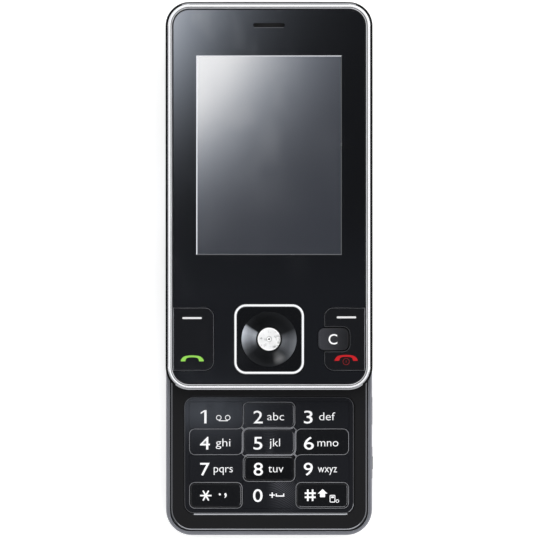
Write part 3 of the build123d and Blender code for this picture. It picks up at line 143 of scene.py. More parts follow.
class KeypadLook(bpy.types.PropertyGroup):
    """Keys and lettering of the number pad"""

    digit_height: length("Digit height", 0.00325, "Height of the large digits")
    letter_size: length("Letter size", 0.00285, "Type size of the small letters")
    ink_height: length("Ink height", 0.00002, "How far the lettering stands over a key")
    ring_pitch: length("Ring pitch", 0.0004, "Distance between the fine spun rings")
    key_colour: colour("Key colour", (0.0092, 0.0095, 0.0115), "Smoked key sheet")
    pad_half: length("Pad half width", 0.01975, "From the middle of the pad to the outer edge of its keys")
    column_half: length("Column half width", 0.0065, "From the middle of the pad to the middle column's edge")
    pad_top: length("Pad top", -0.0149, "Place of the top row's upper edge along the phone", -1.0)
    row_pitch: length("Row pitch", 0.0066, "Distance from one row of keys to the next")
    line_gap: length("Line gap", 0.00046, "Distance from a key's edge to its inner bright line")
    line_width: length("Line width", 0.00008, "Width of a key's inner bright line")
    line_corner: length("Line corner", 0.0011, "Corner radius of a key's inner bright line")
    # the key, panel and foot edge colours are painted highlights on fine bevels; the foot's paler edge is a
    # brighter painted highlight
    line_colour: colour("Line colour", (0.42, 0.425, 0.45), "Fine edge of a key")
    panel_line_colour: colour("Panel line colour", (0.4, 0.41, 0.44), "Fine bright edge of the panel")
    foot_colour: colour("Foot colour", (0.46, 0.47, 0.5), "Pale edge at the foot of the keypad")


class LinkLook(bpy.types.PropertyGroup):
    """The springs and the ribbon between the two halves"""

    wire: length("Wire radius", 0.0002, "Radius of the springs' wire")
    coil_radius: length("Coil radius", 0.0017, "Outer radius of a spring's coil")
    eye_radius: length("Eye radius", 0.0009, "Radius of a spring's eye, to the middle of its wire")
    post_x: length("Post across", 0.0085, "Place of the lower half's posts across")
    post_y: length("Post along", 0.01785, "Place of the lower half's posts along the phone")
    far_x: length("Far post across", 0.0134, "Place of the upper half's posts across")
    far_y: length("Far post along", 0.0357, "Place of the upper half's posts along the phone")
    coil_x: length("Coil across", 0.00806, "Place of the coils across")
    coil_y: length("Coil along", 0.02757, "Place of the coils along the phone")
    film_thickness: length("Film thickness", 0.00015, "Thickness of the ribbon")
    ribbon_low: length("Lower run", 0.00865, "Height of the ribbon's lower run")
    ribbon_high: length("Upper run", 0.0099, "Height of the ribbon's upper run")
    turn_y: length("Turn along", 0.0216, "Place of the ribbon's turn along the phone")
    lower_slot: length("Lower slot", 0.002, "Place where the ribbon leaves the lower half")
    upper_slot: length("Upper slot", 0.0132, "Place where the ribbon enters the upper half")


class StageLook(bpy.types.PropertyGroup):
    """Floor, light and camera"""

    camera_height: length("Camera height", 4.0, "Height of the camera over the floor", 0.2, 5.0)
    view_width: length("View width", 0.13273, "Width that the picture takes in at the phone's face")
    view_x: length("View centre across", 0.00011, "Middle of the picture across the phone", -1.0)
    view_y: length("View centre along", 0.017705, "Middle of the picture along the phone", -1.0)
    floor_colour: colour("Floor colour", (0.98, 0.98, 0.98), "Pale table")
    sky: share("Sky light", 1.42, "Brightness of the soft light from the sides", 5.0)
    horizon: share("Horizon light", 0.8, "Brightness of the soft light near the floor", 5.0)
    side: share("Side light", 0.35, "How much brighter the soft light is from the right and the foot")
    sky_colour: colour("Sky colour", (0.995, 0.997, 1.0), "Tint of the soft light from the sides")
    lamp_colour: colour("Lamp colour", (0.77, 0.855, 1.0), "Tint of the small soft lamp near the zenith")
    zenith: share("Zenith light", 0.1, "Brightness straight above, which the black face mirrors", 5.0)


def clear_selection():
    for obj in bpy.context.selected_objects:
        obj.select_set(False)


def take(obj):
    """Makes one object the selected and active one."""
    clear_selection()
    obj.select_set(True)
    bpy.context.view_layer.objects.active = obj


def settle(obj):
    """Moves an object's place, turn and scale into its mesh."""
    take(obj)
    bpy.ops.object.transform_apply(location=True, rotation=True, scale=True)
    return obj


def open_mesh(obj):
    """Starts work on a mesh, all of it selected."""
    take(obj)
    bpy.ops.object.mode_set(mode="EDIT")
    bpy.ops.mesh.select_all(action="SELECT")


def close_mesh():
    bpy.ops.object.mode_set(mode="OBJECT")


def close_shell(merge=None):
    """Ends work on a closed shell: its doubles are merged where asked, and its faces turned outwards."""
    bpy.ops.mesh.select_all(action="SELECT")
    if merge:
        bpy.ops.mesh.remove_doubles(threshold=merge)
    bpy.ops.mesh.normals_make_consistent(inside=False)
    close_mesh()


def pick(obj, kind, wanted, needed=True):
    """Selects, in edit mode, the wanted points, edges or faces; returns how many."""
    bpy.ops.mesh.select_mode(type=kind)
    bpy.ops.mesh.select_all(action="DESELECT")
    mesh = bmesh.from_edit_mesh(obj.data)
    parts = {"VERT": mesh.verts, "EDGE": mesh.edges, "FACE": mesh.faces}[kind]
    found = [part for part in parts if wanted(part)]
    if needed and not found:
        raise RuntimeError(f"{obj.name}: nothing was found to work on")
    for part in found:
        part.select_set(True)
    bmesh.update_edit_mesh(obj.data, loop_triangles=False, destructive=False)
    return len(found)


def pick_faces(obj, wanted, needed=True):
    """Selects the faces whose middle and normal are wanted."""
    return pick(obj, "FACE", lambda face: wanted(face.calc_center_median(), face.normal), needed)


def pick_edges(obj, wanted, needed=True):
    """Selects the edges whose two ends are wanted."""
    return pick(obj, "EDGE", lambda edge: wanted(edge.verts[0].co, edge.verts[1].co), needed)


def level_at(height, facing=1):
    """A test for level faces at a height that face up, or down with -1."""
    return lambda c, n: abs(c.z - height) < SAME and facing * n.z > LEVEL


def bevelled(n):
    return BEVEL[0] < n.z < BEVEL[1]


def extrude(move):
    bpy.ops.mesh.extrude_region_move(TRANSFORM_OT_translate={"value": move})


def extrude_edges(move):
    bpy.ops.mesh.extrude_edges_move(TRANSFORM_OT_translate={"value": move})


def cut(obj, wanted, across, along):
    """Cuts the wanted faces upright at places across and along the phone."""
    planes = [((x, 0.0, 0.0), (1.0, 0.0, 0.0)) for x in across]
    planes += [((0.0, y, 0.0), (0.0, 1.0, 0.0)) for y in along]
    for place, normal in planes:
        pick_faces(obj, wanted)
        bpy.ops.mesh.bisect(plane_co=place, plane_no=normal)


def start_plate(name, x0, x1, y0, y1, z, corner=0.0, segments=6):
    """A flat rounded plate, left in edit mode with its face selected."""
    clear_selection()
    bpy.ops.mesh.primitive_plane_add(size=1.0, location=((x0 + x1) / 2, (y0 + y1) / 2, z))
    obj = bpy.context.active_object
    obj.name = name
    obj.scale = (x1 - x0, y1 - y0, 1.0)
    open_mesh(settle(obj))
    if corner:
        bpy.ops.mesh.bevel(offset=corner, segments=segments, affect="VERTICES")
    return obj


def start_disc(name, place, radius, vertices, turn=(0.0, 0.0, 0.0), fill="NGON"):
    """A disc, or the circle round it, left in edit mode and selected."""
    clear_selection()
    bpy.ops.mesh.primitive_circle_add(
        vertices=vertices, radius=radius, fill_type=fill, location=place, rotation=turn
    )
    obj = settle(bpy.context.active_object)
    obj.name = name
    open_mesh(obj)
    return obj


def smooth(obj, angle):
    take(obj)
    bpy.ops.object.shade_smooth_by_angle(angle=math.radians(angle))


def profile_ring(name, low, high, corner, steps, segments=12):
    """A rounded ring whose section is given as steps inward and upward from its lower outer rim."""
    ring = start_plate(name, low.x, high.x, low.y, high.y, low.z, corner, segments)
    for inward, upward in steps:
        if inward:
            bpy.ops.mesh.inset(thickness=inward, depth=upward)
        else:
            extrude((0.0, 0.0, upward))
    bpy.ops.mesh.delete(type="FACE")
    # the start plate's underside comes out too, and the two lower rims are joined
    pick_faces(ring, level_at(low.z, -1))
    bpy.ops.mesh.delete(type="ONLY_FACE")
    pick(ring, "EDGE", lambda edge: edge.is_boundary)
    bpy.ops.mesh.bridge_edge_loops()
    close_shell()
    smooth(ring, 50.0)
    return ring


def crown_steps(shares, width, height):
    """A ring's rounded top, from shares of its width and height."""
    return [(inward * width, upward * height) for inward, upward in shares]


def copy_node(node, name):
    """A merged copy of a packed part's mesh, free to be changed."""
    obj = bpy.data.objects.new(name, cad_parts[node].data.copy())
    bpy.context.scene.collection.objects.link(obj)
    open_mesh(obj)
    bpy.ops.mesh.remove_doubles(threshold=SAME)
    bpy.ops.mesh.customdata_custom_splitnormals_clear()
    close_mesh()
    return obj


def grow_slots(obj, count):
    while len(obj.data.materials) < count:
        obj.data.materials.append(None)


def only_material(obj, *materials):
    """Starts a copied part's list of materials anew."""
    obj.data.materials.clear()
    for material in materials:
        obj.data.materials.append(material)


def paint(obj, wanted, index, needed=True):
    """Puts the wanted faces into a material slot; obj is in object mode."""
    grow_slots(obj, index + 1)
    open_mesh(obj)
    if pick_faces(obj, wanted, needed):
        obj.active_material_index = index
        bpy.ops.object.material_slot_assign()
    close_mesh()


def line_edges(obj, body, line, on_line):
    """Puts a painted highlight on a piece's bevel, where it has one, and its body finish on the rest."""
    only_material(obj, body, line)
    paint(obj, on_line, 1, needed=False)
    smooth(obj, 20.0)


def finish_piece(obj, body, slot, *materials):
    """Gives a finished piece its body and its materials; its slot is not used."""
    obj.data.name = obj.name
    grow_slots(obj, len(materials))
    for index, material in enumerate(materials):
        obj.data.materials[index] = material
    if body:
        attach(obj, body)
    return obj


def dress(material, *nodes):
    """Puts a finish on packed parts."""
    for node in nodes:
        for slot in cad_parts[node].material_slots:
            slot.material = material


def join(name, pieces):
    clear_selection()
    for obj in pieces:
        obj.select_set(True)
    bpy.context.view_layer.objects.active = pieces[0]
    bpy.ops.object.join()
    pieces[0].name = name
    return pieces[0]


def past_rim(point, low, high, corner):
    """How far inside the rim of a rounded rectangle a point lies."""
    across = abs(point.x - (low.x + high.x) / 2) - (high.x - low.x) / 2 + corner
    along = abs(point.y - (low.y + high.y) / 2) - (high.y - low.y) / 2 + corner
    if across > 0.0 and along > 0.0:
        return corner - math.hypot(across, along)
    return corner - max(across, along)


def middle_of(node):
    """The middle of a part, seen from the front."""
    low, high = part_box(node)
    return ((low.x + high.x) / 2, (low.y + high.y) / 2, 0.0)


class Graph:
    """A short way to write a node tree."""

    def __init__(self, tree):
        self.tree = tree
        self.place = 0

    def node(self, kind, settings=None, **inputs):
        node = self.tree.nodes.new(kind)
        node.location = (self.place, 0)
        self.place += 180
        for key, value in (settings or {}).items():
            setattr(node, key, value)
        self.feed(node, **inputs)
        return node

    def feed(self, node, **inputs):
        """Links or sets a node's sockets, given by name, or by i and their number."""
        for key, value in inputs.items():
            by_number = key[0] == "i" and key[1:].isdigit()
            target = node.inputs[int(key[1:]) if by_number else key.replace("_", " ")]
            if isinstance(value, bpy.types.NodeSocket):
                self.tree.links.new(value, target)
            else:
                target.default_value = value

    def where(self):
        return self.node("ShaderNodeTexCoord").outputs["Object"]

    def parts(self, vector):
        return self.node("ShaderNodeSeparateXYZ", Vector=vector).outputs

    def group(self, tree, **inputs):
        return self.node("ShaderNodeGroup", {"node_tree": tree}, **inputs).outputs

    def math(self, operation, a, b=0.0, c=0.0, clamp=False):
        node = self.node("ShaderNodeMath", {"operation": operation, "use_clamp": clamp}, i0=a, i1=b, i2=c)
        return node.outputs[0]

    def times(self, *values):
        product = values[0]
        for value in values[1:]:
            product = self.math("MULTIPLY", product, value)
        return product

    def plus(self, *values):
        total = values[0]
        for value in values[1:]:
            total = self.math("ADD", total, value)
        return total

    def times_plus(self, a, b, c, clamp=False):
        return self.math("MULTIPLY_ADD", a, b, c, clamp)

    def lobe(self, angle, degrees):
        """How near an angle lies to a direction: 1 in it, -1 opposite."""
        return self.math("COSINE", self.math("SUBTRACT", angle, math.radians(degrees)))

    def vector(self, operation, a, b=(0.0, 0.0, 0.0)):
        return self.node("ShaderNodeVectorMath", {"operation": operation}, i0=a, i1=b)

    def noise(self, vector, scale, detail=2.0, roughness=0.5):
        node = self.node("ShaderNodeTexNoise", Vector=vector, Scale=scale, Detail=detail, Roughness=roughness)
        return node.outputs["Fac"]

    def spread(self, value, low, high, to_low=0.0, to_high=1.0):
        """Carries a range of values to another one, and keeps what lies outside at its ends."""
        ends = {"From_Min": low, "From_Max": high, "To_Min": to_low, "To_Max": to_high}
        return self.node("ShaderNodeMapRange", {"clamp": True}, Value=value, **ends).outputs["Result"]

    def mix(self, factor, first, second, blend="MIX"):
        settings = {"data_type": "RGBA", "blend_type": blend}
        return self.node("ShaderNodeMix", settings, i0=factor, i6=first, i7=second).outputs[2]

    def ramp(self, factor, stops):
        """A colour ramp through stops that each give a place and a colour."""
        node = self.node("ShaderNodeValToRGB", Fac=factor)
        elements = node.color_ramp.elements
        while len(elements) < len(stops):
            elements.new(0.5)
        for element, (place, rgb) in zip(elements, stops):
            element.position = place
            element.color = four(rgb)
        return node.outputs["Color"]

    def bump(self, height, strength, distance):
        node = self.node("ShaderNodeBump", Height=height, Strength=strength, Distance=distance)
        return node.outputs["Normal"]


def four(rgb):
    return (rgb[0], rgb[1], rgb[2], 1.0)


def toned(rgb, gain):
    """A colour made paler or darker."""
    return [part * gain for part in rgb]


def new_group(name, inputs, outputs):
    """A node group with its sockets; returns its graph, its inputs and its output node."""
    tree = bpy.data.node_groups.new(name, "ShaderNodeTree")
    for in_out, sockets in (("INPUT", inputs), ("OUTPUT", outputs)):
        for label, value in sockets.items():
            kind = SOCKET_KINDS[len(value) if isinstance(value, tuple) else 1]
            tree.interface.new_socket(name=label, in_out=in_out, socket_type=kind).default_value = value
    graph = Graph(tree)
    return graph, graph.node("NodeGroupInput").outputs, graph.node("NodeGroupOutput")


def moulded_grain():
    """Fine moulded grain with a slow drift of tone, as on spark-eroded plastic and paint."""
    if "Moulded grain" in bpy.data.node_groups:
        return bpy.data.node_groups["Moulded grain"]
    graph, given, out = new_group(
        "Moulded grain",
        {"Colour": (0.5, 0.5, 0.5, 1.0), "Tone": 0.15, "Scale": 4000.0, "Roughness": 0.5, "Variation": 0.08},
        {"Colour": (0.5, 0.5, 0.5, 1.0), "Roughness": 0.5, "Height": 0.0},
    )
    where = graph.where()
    fine = graph.noise(where, given["Scale"], 1.0)
    slow = graph.noise(where, 90.0, 3.0)
    drift = graph.times_plus(graph.math("SUBTRACT", slow, 0.5), 1.2, graph.math("SUBTRACT", fine, 0.5))
    tinted = graph.vector("SCALE", given["Colour"])
    graph.feed(tinted, Scale=graph.times_plus(drift, given["Tone"], 1.0))
    rough = graph.times_plus(drift, given["Variation"], given["Roughness"], clamp=True)
    graph.feed(out, Colour=tinted.outputs[0], Roughness=rough, Height=fine)
    return graph.tree


def spun_rings():
    """Fine rings turned about an upright axis: their height, and the radius and angle of each place."""
    if "Spun rings" in bpy.data.node_groups:
        return bpy.data.node_groups["Spun rings"]
    graph, given, out = new_group(
        "Spun rings",
        {"Centre": (0.0, 0.0, 0.0), "Pitch": 0.0003},
        {"Height": 0.0, "Radius": 0.0, "Angle": 0.0},
    )
    offset = graph.vector("SUBTRACT", graph.where(), given["Centre"]).outputs[0]
    flat = graph.vector("MULTIPLY", offset, (1.0, 1.0, 0.0)).outputs[0]
    radius = graph.vector("LENGTH", flat).outputs["Value"]
    parts = graph.parts(flat)
    turn = graph.math("ARCTAN2", parts["Y"], parts["X"])
    rings = graph.math("DIVIDE", graph.times(radius, 2.0 * math.pi), given["Pitch"])
    wave = graph.times_plus(graph.math("SINE", rings), 0.5, 0.5)
    graph.feed(out, Height=wave, Radius=radius, Angle=turn)
    return graph.tree


def handling():
    """Faint smudges and dust that break up a polished surface."""
    if "Handling" in bpy.data.node_groups:
        return bpy.data.node_groups["Handling"]
    graph, given, out = new_group(
        "Handling", {"Roughness": 0.05, "Amount": 0.05}, {"Roughness": 0.05, "Mask": 0.0}
    )
    warped = graph.vector("MULTIPLY", graph.where(), (1.0, 0.6, 1.0)).outputs[0]
    smudge = graph.spread(graph.noise(warped, 110.0, 4.0, 0.6), 0.5, 0.75)
    graph.feed(out, Roughness=graph.times_plus(smudge, given["Amount"], given["Roughness"]), Mask=smudge)
    return graph.tree


def new_material(name, **numbers):
    """A material with its Principled shader; uniform numbers are set on the shader's own sockets."""
    material = bpy.data.materials.new(name)
    material.use_nodes = True
    graph = Graph(material.node_tree)
    shader = material.node_tree.nodes["Principled BSDF"]
    graph.feed(shader, **numbers)
    return material, graph, shader


def grained(name, rgb, roughness, tone, scale, variation, bump, **numbers):
    """A moulded, painted or cast finish."""
    if name in bpy.data.materials:
        return bpy.data.materials[name]
    material, graph, shader = new_material(name, **numbers)
    grain = graph.group(
        moulded_grain(), Colour=four(rgb), Tone=tone, Scale=scale, Roughness=roughness, Variation=variation
    )
    normal = graph.bump(grain["Height"], bump, 0.02 * MM)
    graph.feed(shader, Base_Color=grain["Colour"], Roughness=grain["Roughness"], Normal=normal)
    return material


def polished(name, rgb, roughness, amount, **numbers):
    """A polished finish with faint handling marks, which darken it a little."""
    if name in bpy.data.materials:
        return bpy.data.materials[name]
    material, graph, shader = new_material(name, **numbers)
    marks = graph.group(handling(), Roughness=roughness, Amount=amount)
    tone = graph.mix(marks["Mask"], four(rgb), four(toned(rgb, 0.93)))
    graph.feed(shader, Base_Color=tone, Roughness=marks["Roughness"])
    return material


def edge_highlight(name, rgb, roughness=0.4, **numbers):
    """Metallic grey on a moulding's fine bevel: a painted highlight of the edge catching the light."""
    return grained(name, rgb, roughness, 0.1, 3000.0, 0.08, 0.03, **numbers)


def ink(name, rgb, bump=0.03, **numbers):
    """Printed ink."""
    return grained(name, rgb, 0.4, 0.05, 9000.0, 0.05, bump, **numbers)


def chrome_finish(context):
    return polished("Bright chrome", context.scene.phone_trim.chrome_colour, 0.2, 0.03, Metallic=1.0)


def shaded_flank(context):
    """The steep side of a bright piece: chrome painted darker, a painted shade."""
    return polished("Chrome flank", context.scene.phone_trim.flank_colour, 0.25, 0.03, Metallic=1.0)


def white_ink(context):
    return ink("White ink", context.scene.phone_face.mark_colour, 0.05)


def glossy_finish(context):
    return polished("Glossy black", context.scene.phone_face.face_colour, 0.02, 0.02, IOR=1.5)


def foot_edge_highlight(context):
    """The pale edge at the foot of the keypad: a painted highlight."""
    return edge_highlight("Pale foot edge", context.scene.phone_keypad.foot_colour)


def painted_gap_shade():
    """Near-black for the inside of a groove or gap: painted shade."""
    return grained("Dark gap", (0.003, 0.003, 0.0033), 0.8, 0.2, 3000.0, 0.05, 0.1, Specular_IOR_Level=0.1)


def spring_steel():
    return grained("Spring steel", (0.55, 0.54, 0.52), 0.28, 0.08, 6000.0, 0.06, 0.04, Metallic=1.0)


class PHONE_OT_housings(bpy.types.Operator):
    """Finishes the moulded and painted housings of both halves"""

    bl_idname = "phone.housings"
    bl_label = "Housings"

    def execute(self, context):
        look = context.scene.phone_body
        band = grained("Gunmetal paint", look.band_colour, 0.38, 0.10, 9000.0, 0.06, 0.05, Metallic=0.55)
        dress(band, "rear_housing")
        panel = grained("Matt black panel", look.panel_colour, look.panel_roughness, 0.2, 5000.0, 0.06, 0.25,
                        Specular_IOR_Level=0.14)
        dress(panel, "slide_front_housing")
        self.panel(context, panel)
        dress(grained("Satin black shell", (0.003, 0.003, 0.0034), 0.6, 0.2, 5000.0, 0.06, 0.12,
                      Specular_IOR_Level=0.12), "slide_rear_housing")
        self.cover_shell(grained("Soft black cover", look.cover_colour, 0.62, 0.25, 3500.0, 0.05, 0.3))
        rubber = grained("Black rubber", look.rubber_colour, 0.7, 0.2, 2500.0, 0.05, 0.2)
        dress(rubber, "keypad_mat", "slide_key_mat", "nav_pad", "port_cover")
        return {"FINISHED"}

    def cover_shell(self, coating):
        """The battery cover, with a thumb grip of fine grooves near its upper end."""
        shell = copy_node("battery_cover", "cover_shell")
        low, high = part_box("battery_cover")
        underneath = level_at(low.z, -1)
        reach, width, depth, slope = 8.0 * MM, 0.55 * MM, 0.18 * MM, 0.08 * MM
        first, pitch, grooves = 4.5 * MM, 1.3 * MM, 5
        rows = [high.y - first - pitch * count for count in range(grooves)]

        def in_groove(c, n):
            return underneath(c, n) and abs(c.x) < reach and any(abs(c.y - y) < width / 2 for y in rows)

        open_mesh(shell)
        cut(shell, underneath, (-reach, reach), [y + side * width / 2 for y in rows for side in (-1, 1)])
        pick_faces(shell, in_groove)
        bpy.ops.mesh.inset(thickness=slope, depth=-depth)
        close_mesh()
        smooth(shell, 30.0)
        finish_piece(shell, "back_cover", "matt_black_plastic", coating)
        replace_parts(shell, "battery_cover")

    def panel(self, context, black):
        """The lower half's front panel, whose bevel carries a fine painted highlight, dimmer on its sides as
        painted shade and paler at the keypad's foot.
        """
        panel = copy_node("front_housing", "front_panel")
        top = top_of("front_housing")
        look = context.scene.phone_keypad
        low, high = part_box("front_housing")
        corner = context.scene.phone_body.panel_corner
        bevel, line_reach = 0.3 * MM, 0.6 * MM

        def on_bevel(c, n):
            return bevelled(n) and c.z > top - bevel

        def on_line(c, n):
            return on_bevel(c, n) and past_rim(c, low, high, corner) < line_reach

        def at_side(c, n):
            return on_line(c, n) and abs(n.x) > 0.5

        def at_mouth_foot(c, n):
            under_pad = c.y < -look.pad_half * 2 and -0.93 < c.x / look.pad_half < 0.97
            return on_bevel(c, n) and n.y > 0.3 and under_pad

        # painted highlight on the bevel, a dimmer copy on the sides as painted shade, and a paler painted
        # highlight at the keypad's foot
        line = edge_highlight("Bright panel edge", look.panel_line_colour, 0.3, Metallic=1.0)
        side = edge_highlight("Panel edge, side", toned(look.panel_line_colour, 0.4), 0.3, Metallic=1.0)
        line_edges(panel, black, line, on_line)
        paint(panel, at_side, 2)
        paint(panel, at_mouth_foot, 3)
        smooth(panel, 20.0)
        finish_piece(panel, LOWER_HALF, "matt_black_plastic", black, line, side, foot_edge_highlight(context))
        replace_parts(panel, "front_housing")
        self.shade_ring(low, high, top - bevel, corner)

    def shade_ring(self, low, high, seat, corner):
        """A near-black ring in the gap round the front panel: painted shade."""
        gap = 0.32 * MM
        lowest = Vector((low.x - gap, low.y - gap, seat))
        highest = Vector((high.x + gap, high.y + gap, seat))
        steps = ((0.0, 0.02 * MM), (0.15 * MM, 0.01 * MM), (0.14 * MM, -0.02 * MM))
        shade_ring = profile_ring("panel_seal", lowest, highest, corner + gap, steps)
        finish_piece(shade_ring, LOWER_HALF, "matt_black_plastic", painted_gap_shade())


class PHONE_OT_inner_parts(bpy.types.Operator):
    """Finishes the boards, cans, battery, screws and other parts inside"""

    bl_idname = "phone.inner_parts"
    bl_label = "Inner parts"
    # name, colour, roughness, tone, grain, variation, bump, metallic, parts
    finishes = (
        ("Tinned sheet", (0.62, 0.62, 0.60), 0.34, 0.10, 2500.0, 0.08, 0.08, 1.0,
         ("shield_cans", "sim_holder", "system_connector", "slide_carriage", "rail_plate",
          "vibration_motor")),
        ("Screw steel", (0.42, 0.42, 0.43), 0.3, 0.1, 7000.0, 0.06, 0.08, 1.0,
         ("base_screws", "slide_screws")),
        ("Battery wrap", (0.10, 0.11, 0.13), 0.42, 0.12, 1800.0, 0.06, 0.08, 0.0, ("battery",)),
        ("Card plastic", (0.62, 0.60, 0.55), 0.45, 0.06, 2500.0, 0.05, 0.05, 0.0, ("sim_card",)),
        ("Module black", (0.014, 0.014, 0.016), 0.45, 0.2, 4000.0, 0.06, 0.15, 0.0,
         ("camera_module", "loudspeaker", "microphone", "earpiece")),
        ("White acetal", (0.72, 0.71, 0.68), 0.4, 0.05, 3000.0, 0.05, 0.05, 0.0, ("glide_shoes",)),
        ("Diffuser white", (0.8, 0.8, 0.78), 0.5, 0.04, 3000.0, 0.05, 0.03, 0.0, ("lcd_backlight",)),
    )

    def execute(self, context):
        dress(spring_steel(), "dome_sheet", "battery_contacts", "antenna")
        for *look, metallic, nodes in self.finishes:
            dress(grained(*look, Metallic=metallic), *nodes)
        self.board("Circuit board", (0.012, 0.09, 0.045), (0.03, 0.17, 0.07), "main_board")
        self.board("Dark circuit board", (0.002, 0.004, 0.003), (0.006, 0.012, 0.008), "slide_board")
        self.mesh_fabric()
        return {"FINISHED"}

    def board(self, name, mask_colour, track_colour, node):
        """Solder mask over copper tracks."""
        material, graph, shader = new_material(name)
        where = graph.where()
        tracks = graph.node("ShaderNodeTexBrick", Vector=where, Scale=260.0, Mortar_Size=0.03).outputs["Fac"]
        noise = graph.noise(where, 700.0, 2.0)
        mask = graph.times(tracks, graph.spread(noise, 0.4, 0.6))
        tone = graph.mix(mask, four(mask_colour), four(track_colour))
        rough = graph.spread(noise, 0.3, 0.7, 0.3, 0.45)
        graph.feed(shader, Base_Color=tone, Roughness=rough, Normal=graph.bump(mask, 0.2, 0.03 * MM))
        dress(material, node)

    def mesh_fabric(self):
        """Fine woven dust mesh."""
        material, graph, shader = new_material("Dust mesh", Roughness=0.7)
        parts = graph.parts(graph.where())
        waves = 2.0 * math.pi / (0.12 * MM)
        warp, weft = (graph.math("SINE", graph.times(parts[axis], waves)) for axis in "XY")
        thread = graph.math("MAXIMUM", warp, weft)
        gap, crest = (0.002, 0.002, 0.002), (0.014, 0.014, 0.016)
        tone = graph.mix(graph.spread(thread, 0.0, 1.0), four(gap), four(crest))
        graph.feed(shader, Base_Color=tone, Normal=graph.bump(thread, 0.5, 0.03 * MM))
        dress(material, "earpiece_mesh")


class PHONE_OT_bright_ring(bpy.types.Operator):
    """Builds the screen half's bright ring and the thin bead inside it"""

    bl_idname = "phone.bright_ring"
    bl_label = "Bright ring"
    # the rounded top's steps inward and upward, as shares of its width and height
    crown = ((0.05, 0.34), (0.08, 0.26), (0.12, 0.20), (0.17, 0.14), (0.20, 0.06), (0.16, -0.06),
             (0.12, -0.14), (0.10, -0.22))

    def execute(self, context):
        look = context.scene.phone_trim
        low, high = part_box("chrome_trim")
        rise = high.z - low.z
        width, start = look.ring_width, look.ring_start
        groove, groove_wall, reach = 0.3 * MM, 0.01 * MM, 1.02 * MM
        drop = rise - (1.0 - sum(upward for _, upward in self.crown)) * look.crown - groove
        steps = [(0.0, rise - look.crown), (start, 0.0)] + crown_steps(self.crown, width, look.crown)
        steps += [(groove_wall, -groove), (reach - width - start, 0.0), (0.0, -drop)]
        ring = profile_ring("bright_ring", low, high, look.corner, steps, 14)

        outer_edge, inner_edge = start + 0.004 * MM, start + width + 0.002 * MM

        def inside(c):
            return past_rim(c, low, high, look.corner)

        def beside_crown(c, n):
            return not outer_edge <= inside(c) <= inner_edge

        def outer_flank(c, n):
            flank = 0.36 if n.y < -0.1 else 0.2
            return outer_edge < inside(c) < start + flank * width

        def ledge_highlight(c, n):
            at_end = c.y < low.y + 1.4 * MM or c.y > high.y - 0.5 * MM
            return at_end and n.z > 0.9 and inside(c) < start

        # off the crown the ring is painted near-black, a painted shade; its outer flank is painted darker, a
        # painted shade wider at the foot; the ledge at the two ends is painted pale, a painted highlight
        for index, place in enumerate((beside_crown, outer_flank, ledge_highlight), start=1):
            paint(ring, place, index)
        smooth(ring, 20.5)
        ledge = grained("Pale ledge", (0.38, 0.385, 0.40), 0.5, 0.1, 3000.0, 0.05, 0.03,
                        Specular_IOR_Level=0.3)
        finishes = (chrome_finish(context), painted_gap_shade(), shaded_flank(context), ledge)
        finish_piece(ring, UPPER_HALF, "chrome", *finishes)
        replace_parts(ring, "chrome_trim")
        self.bead(look, low, high)
        return {"FINISHED"}

    def bead(self, look, low, high):
        """The thin line on the lip between the ring and the face."""
        inset, foot, wide = 1.09 * MM, 0.14 * MM, look.bead_width
        bottom = top_of("slide_front_housing") - 0.05 * MM
        lowest = Vector((low.x + inset, low.y + inset, bottom))
        highest = Vector((high.x - inset, high.y - inset, bottom))
        steps = ((0.0, foot), (0.2 * wide, 0.07 * MM), (0.3 * wide, 0.02 * MM), (0.3 * wide, -0.02 * MM),
                 (0.2 * wide, -0.07 * MM), (0.0, -foot))
        bead = profile_ring("inner_bead", lowest, highest, look.corner - inset, steps)
        metal = grained("Brushed bead", look.bead_colour, 0.36, 0.08, 4000.0, 0.05, 0.03, Metallic=1.0)
        finish_piece(bead, UPPER_HALF, "chrome", metal)


